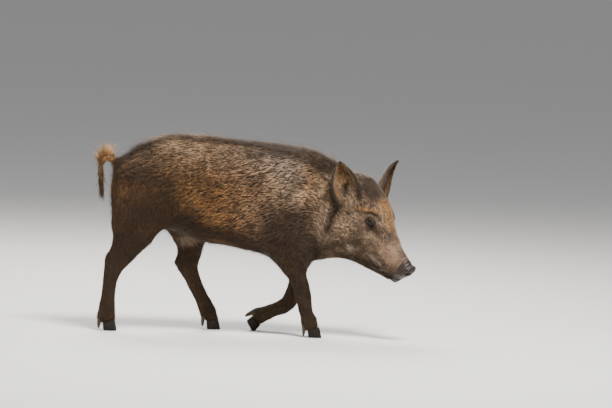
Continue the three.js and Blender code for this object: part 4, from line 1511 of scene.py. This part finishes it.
def horn_material(scene, pale):
    """Dull horn with fine growth rings and some mud."""
    shader = Shader("dew_claw_horn" if pale else "hoof_horn")
    base = scene.boar_horn.claw if pale else scene.boar_horn.hoof
    up = shader.node("ShaderNodeSeparateXYZ", {}, shader.place(), out=2)
    wave = (up + shader.noise(60) * 0.004) * 1500
    rings = shader.node("ShaderNodeMath", {"operation": "SINE"}, wave)
    worn = shader.step(shader.noise(220, 4), 0.4, 0.7)
    horn = shader.mix(worn * 0.2, base, DRY_MUD)
    normal = shader.bump(rings * 0.3 + shader.noise(700), 0.4, 0.4 * MM)
    rough = 0.68 + worn * 0.2
    return shader.finish(Base_Color=horn, Roughness=rough, Normal=normal, Specular_IOR_Level=0.10)


HOOF_BLUR = {"hoof": 26, "dew_claw": 10}
SOLE = 0.3 * MM  # points of a hoof nearer the floor than this stay at their height


class BOAR_OT_hooves(bpy.types.Operator):
    """Hooves and dew claws: the solids' shapes with rounded edges"""

    bl_idname = "boar.hooves"
    bl_label = "Hooves"

    def execute(self, context):
        kinds = {
            "hoof": (horn_material(context.scene, False), "horn"),
            "dew_claw": (horn_material(context.scene, True), "pale_horn"),
        }
        for leg in LEGS:
            for kind, (material, slot) in kinds.items():
                for place in ("inner", "outer"):
                    node = f"{kind}_{place}_{leg}"
                    mesh = self.rounded(node, HOOF_BLUR[kind])
                    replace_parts(shown(mesh.name, mesh, material), node)
        return {"FINISHED"}

    def rounded(self, node, times):
        """A solid's shape with its edges smoothed, its sole still flat on the floor."""
        solid = made_mesh(f"{node}_form", *welded(node))
        cut = with_modifier(solid, "SUBSURF", subdivision_type="SIMPLE", levels=3, render_levels=3)
        surface = Surface(*arrays(cut))
        held = surface.points[:, 2].copy()
        floor = held < SOLE
        surface.points = surface.blurred(surface.points, times)
        surface.points[floor, 2] = held[floor]
        return made_mesh(f"{node}_shell", surface.points, surface.triangles)


# ---- tail hair -----------------------------------------------------------------------------------


TAIL_HAIR_WIDTH = 1.1
FAN_WAY, FAN_SPREAD = (-0.12, 0, 1.0), 0.36
SWITCH_WAY, SWITCH_SPREAD = (0.06, 0, -1.0), 0.16
SWITCH_LONG = 36  # in millimetres


class BOAR_OT_tail_hair(bpy.types.Operator):
    """The long hair that stands on the tail's bend and hangs from its end"""

    bl_idname = "boar.tail_hair"
    bl_label = "Tail hair"

    def execute(self, context):
        draw = np.random.default_rng(SEED + 1)
        material = coat_material(context.scene)
        coat = context.scene.boar_coat
        root, bend, fall, end = (np.array(place) for place in tail_line())
        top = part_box("tail_tuft")[1].z
        long = (top - bend[2]) / MM * 1.15
        fan_roots = self.hairs(
            draw, 620, [root * 0.3 + bend * 0.7, bend, fall], FAN_WAY, FAN_SPREAD, long, dark=0.0
        )
        fan = tuft_mesh("tail_fan", fan_roots, coat)
        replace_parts(shown("tail_fan", fan, material), "tail_tuft")
        switch_roots = self.hairs(
            draw, 480, [fall, fall * 0.2 + end * 0.8], SWITCH_WAY, SWITCH_SPREAD, SWITCH_LONG, dark=1.0
        )
        shown("tail_switch", tuft_mesh("tail_switch", switch_roots, coat), material)
        return {"FINISHED"}

    def hairs(self, draw, count, line, way, spread, long, dark):
        """Roots of long hairs along a line, that lean apart by the spread; dark is 0 for ginger ones."""
        share = draw.random(count)
        steps = np.linspace(0, 1, len(line))
        at = np.stack([np.interp(share, steps, np.array(line)[:, axis]) for axis in range(3)], axis=1)
        lean = unit(np.array(way, float) + draw.normal(0, spread, (count, 3)))
        values = dict(
            point=at + draw.normal(0, 3 * MM, (count, 3)),
            normal=unit(np.cross(lean, draw.normal(0, 1, (count, 3)))),
            flow=lean,
            length=long * draw.uniform(0.55, 1.0, count),
            width=np.full(count, TAIL_HAIR_WIDTH),
            stand=np.full(count, 0.3),
            **{mark: np.zeros(count) for mark in MARKS},
        )
        values["dark"] = dark * 0.9 * ramp(share, 0.25, 0.6)
        values["ginger"] = np.full(count, (1 - dark) * 0.8) + dark * 0.5 * ramp(share, 0.5, 0.1)
        return Roots(values, np.full(count, REGION_NAMES.index("tail")), draw)


# ---- stage ---------------------------------------------------------------------------------------


SKY_COLOUR = (0.93, 0.95, 1.0, 1)
LIT_PLACE = (0, 0, 0.35)
LAMPS = (  # name, place, width, share of the largest lamp's power
    ("key", (0.9, -1.5, 3.6), 1.2, 1.0),
    ("fill", (-2.8, -2.6, 1.4), 2.4, 0.16),
    ("back", (-0.6, 2.2, 2.8), 1.8, 0.45),
)
FOOT = (15.58, 21.9, -0.2)  # the place that the camera's line passes before it turns, in millimetres


class BOAR_OT_stage(bpy.types.Operator):
    """Floor, soft lamps and camera"""

    bl_idname = "boar.stage"
    bl_label = "Stage"

    def execute(self, context):
        scene = context.scene
        stage = scene.boar_stage
        self.floor(stage)
        self.lamps(stage)
        self.camera(scene, stage)
        world = bpy.data.worlds.new("studio")
        world.use_nodes = True
        background = world.node_tree.nodes["Background"]
        background.inputs["Color"].default_value = SKY_COLOUR
        background.inputs["Strength"].default_value = stage.sky
        scene.world = world
        return {"FINISHED"}

    def floor(self, stage):
        """A flat pale floor that reaches past every view."""
        far = stage.floor_reach
        corners = np.array([(-far, -far, 0), (far, -far, 0), (far, far, 0), (-far, far, 0)])
        mesh = made_mesh("floor", corners, np.array([[0, 1, 2, 3]]))
        floor = bpy.data.objects.new("floor", mesh)
        bpy.context.scene.collection.objects.link(floor)
        shader = Shader("floor_paint")
        mesh.materials.append(shader.finish(Base_Color=stage.floor, Roughness=0.85))

    def lamps(self, stage):
        """Square lamps that look at the model's middle."""
        for name, place, size, share in LAMPS:
            lamp = bpy.data.lights.new(name, "AREA")
            lamp.size = size
            lamp.energy = stage.light * share
            thing = bpy.data.objects.new(name, lamp)
            thing.location = place
            ahead = Vector(LIT_PLACE) - Vector(place)
            thing.rotation_euler = ahead.to_track_quat("-Z", "Y").to_euler()
            bpy.context.scene.collection.objects.link(thing)

    def camera(self, scene, stage):
        """Looks along +Y, a little down, leaning so that the floor slopes, turned up and to the right."""
        camera = bpy.data.cameras.new("camera")
        camera.lens = stage.lens
        camera.clip_end = 100
        ahead = Vector((0, math.cos(stage.rise), -math.sin(stage.rise)))
        right = Vector((1, 0, 0))
        lean = Matrix((right, right.cross(ahead), -ahead)).transposed() @ Matrix.Rotation(stage.roll, 3, "Z")
        look = (lean @ Vector((stage.turn[0], stage.turn[1], -1))).normalized()
        up = (lean.col[1] - look * lean.col[1].dot(look)).normalized()
        thing = bpy.data.objects.new("camera", camera)
        thing.matrix_world = Matrix((look.cross(up), up, -look)).transposed().to_4x4()
        thing.location = Vector(FOOT) * MM - ahead * stage.distance
        scene.collection.objects.link(thing)
        scene.camera = thing


# ---- add-on --------------------------------------------------------------------------------------

SETTINGS = {
    "boar_skin": BoarSkinSettings,
    "boar_coat": BoarCoatSettings,
    "boar_horn": BoarHornSettings,
    "boar_stage": BoarStageSettings,
}
OPERATORS = (BOAR_OT_skin, BOAR_OT_coat, BOAR_OT_eyes, BOAR_OT_hooves, BOAR_OT_tail_hair, BOAR_OT_stage)


class BOAR_PT_panel(bpy.types.Panel):
    """Lists the settings and the steps that build the boar"""

    bl_label = "Wild boar"
    bl_space_type = "VIEW_3D"
    bl_region_type = "UI"
    bl_category = "Boar"

    def draw(self, context):
        for name, group in SETTINGS.items():
            box = self.layout.box()
            for field in group.__annotations__:
                box.prop(getattr(context.scene, name), field)
        for operator in OPERATORS:
            self.layout.operator(operator.bl_idname)


def register():
    for kind in (*SETTINGS.values(), *OPERATORS, BOAR_PT_panel):
        bpy.utils.register_class(kind)
    for name, group in SETTINGS.items():
        setattr(bpy.types.Scene, name, bpy.props.PointerProperty(type=group))


def unregister():
    for name in SETTINGS:
        delattr(bpy.types.Scene, name)
    for kind in reversed((*SETTINGS.values(), *OPERATORS, BOAR_PT_panel)):
        bpy.utils.unregister_class(kind)


def main():
    register()
    bpy.ops.boar.skin()
    bpy.ops.boar.coat()
    bpy.ops.boar.eyes()
    bpy.ops.boar.hooves()
    bpy.ops.boar.tail_hair()
    bpy.ops.boar.stage()


if __name__ == "__main__":
    main()
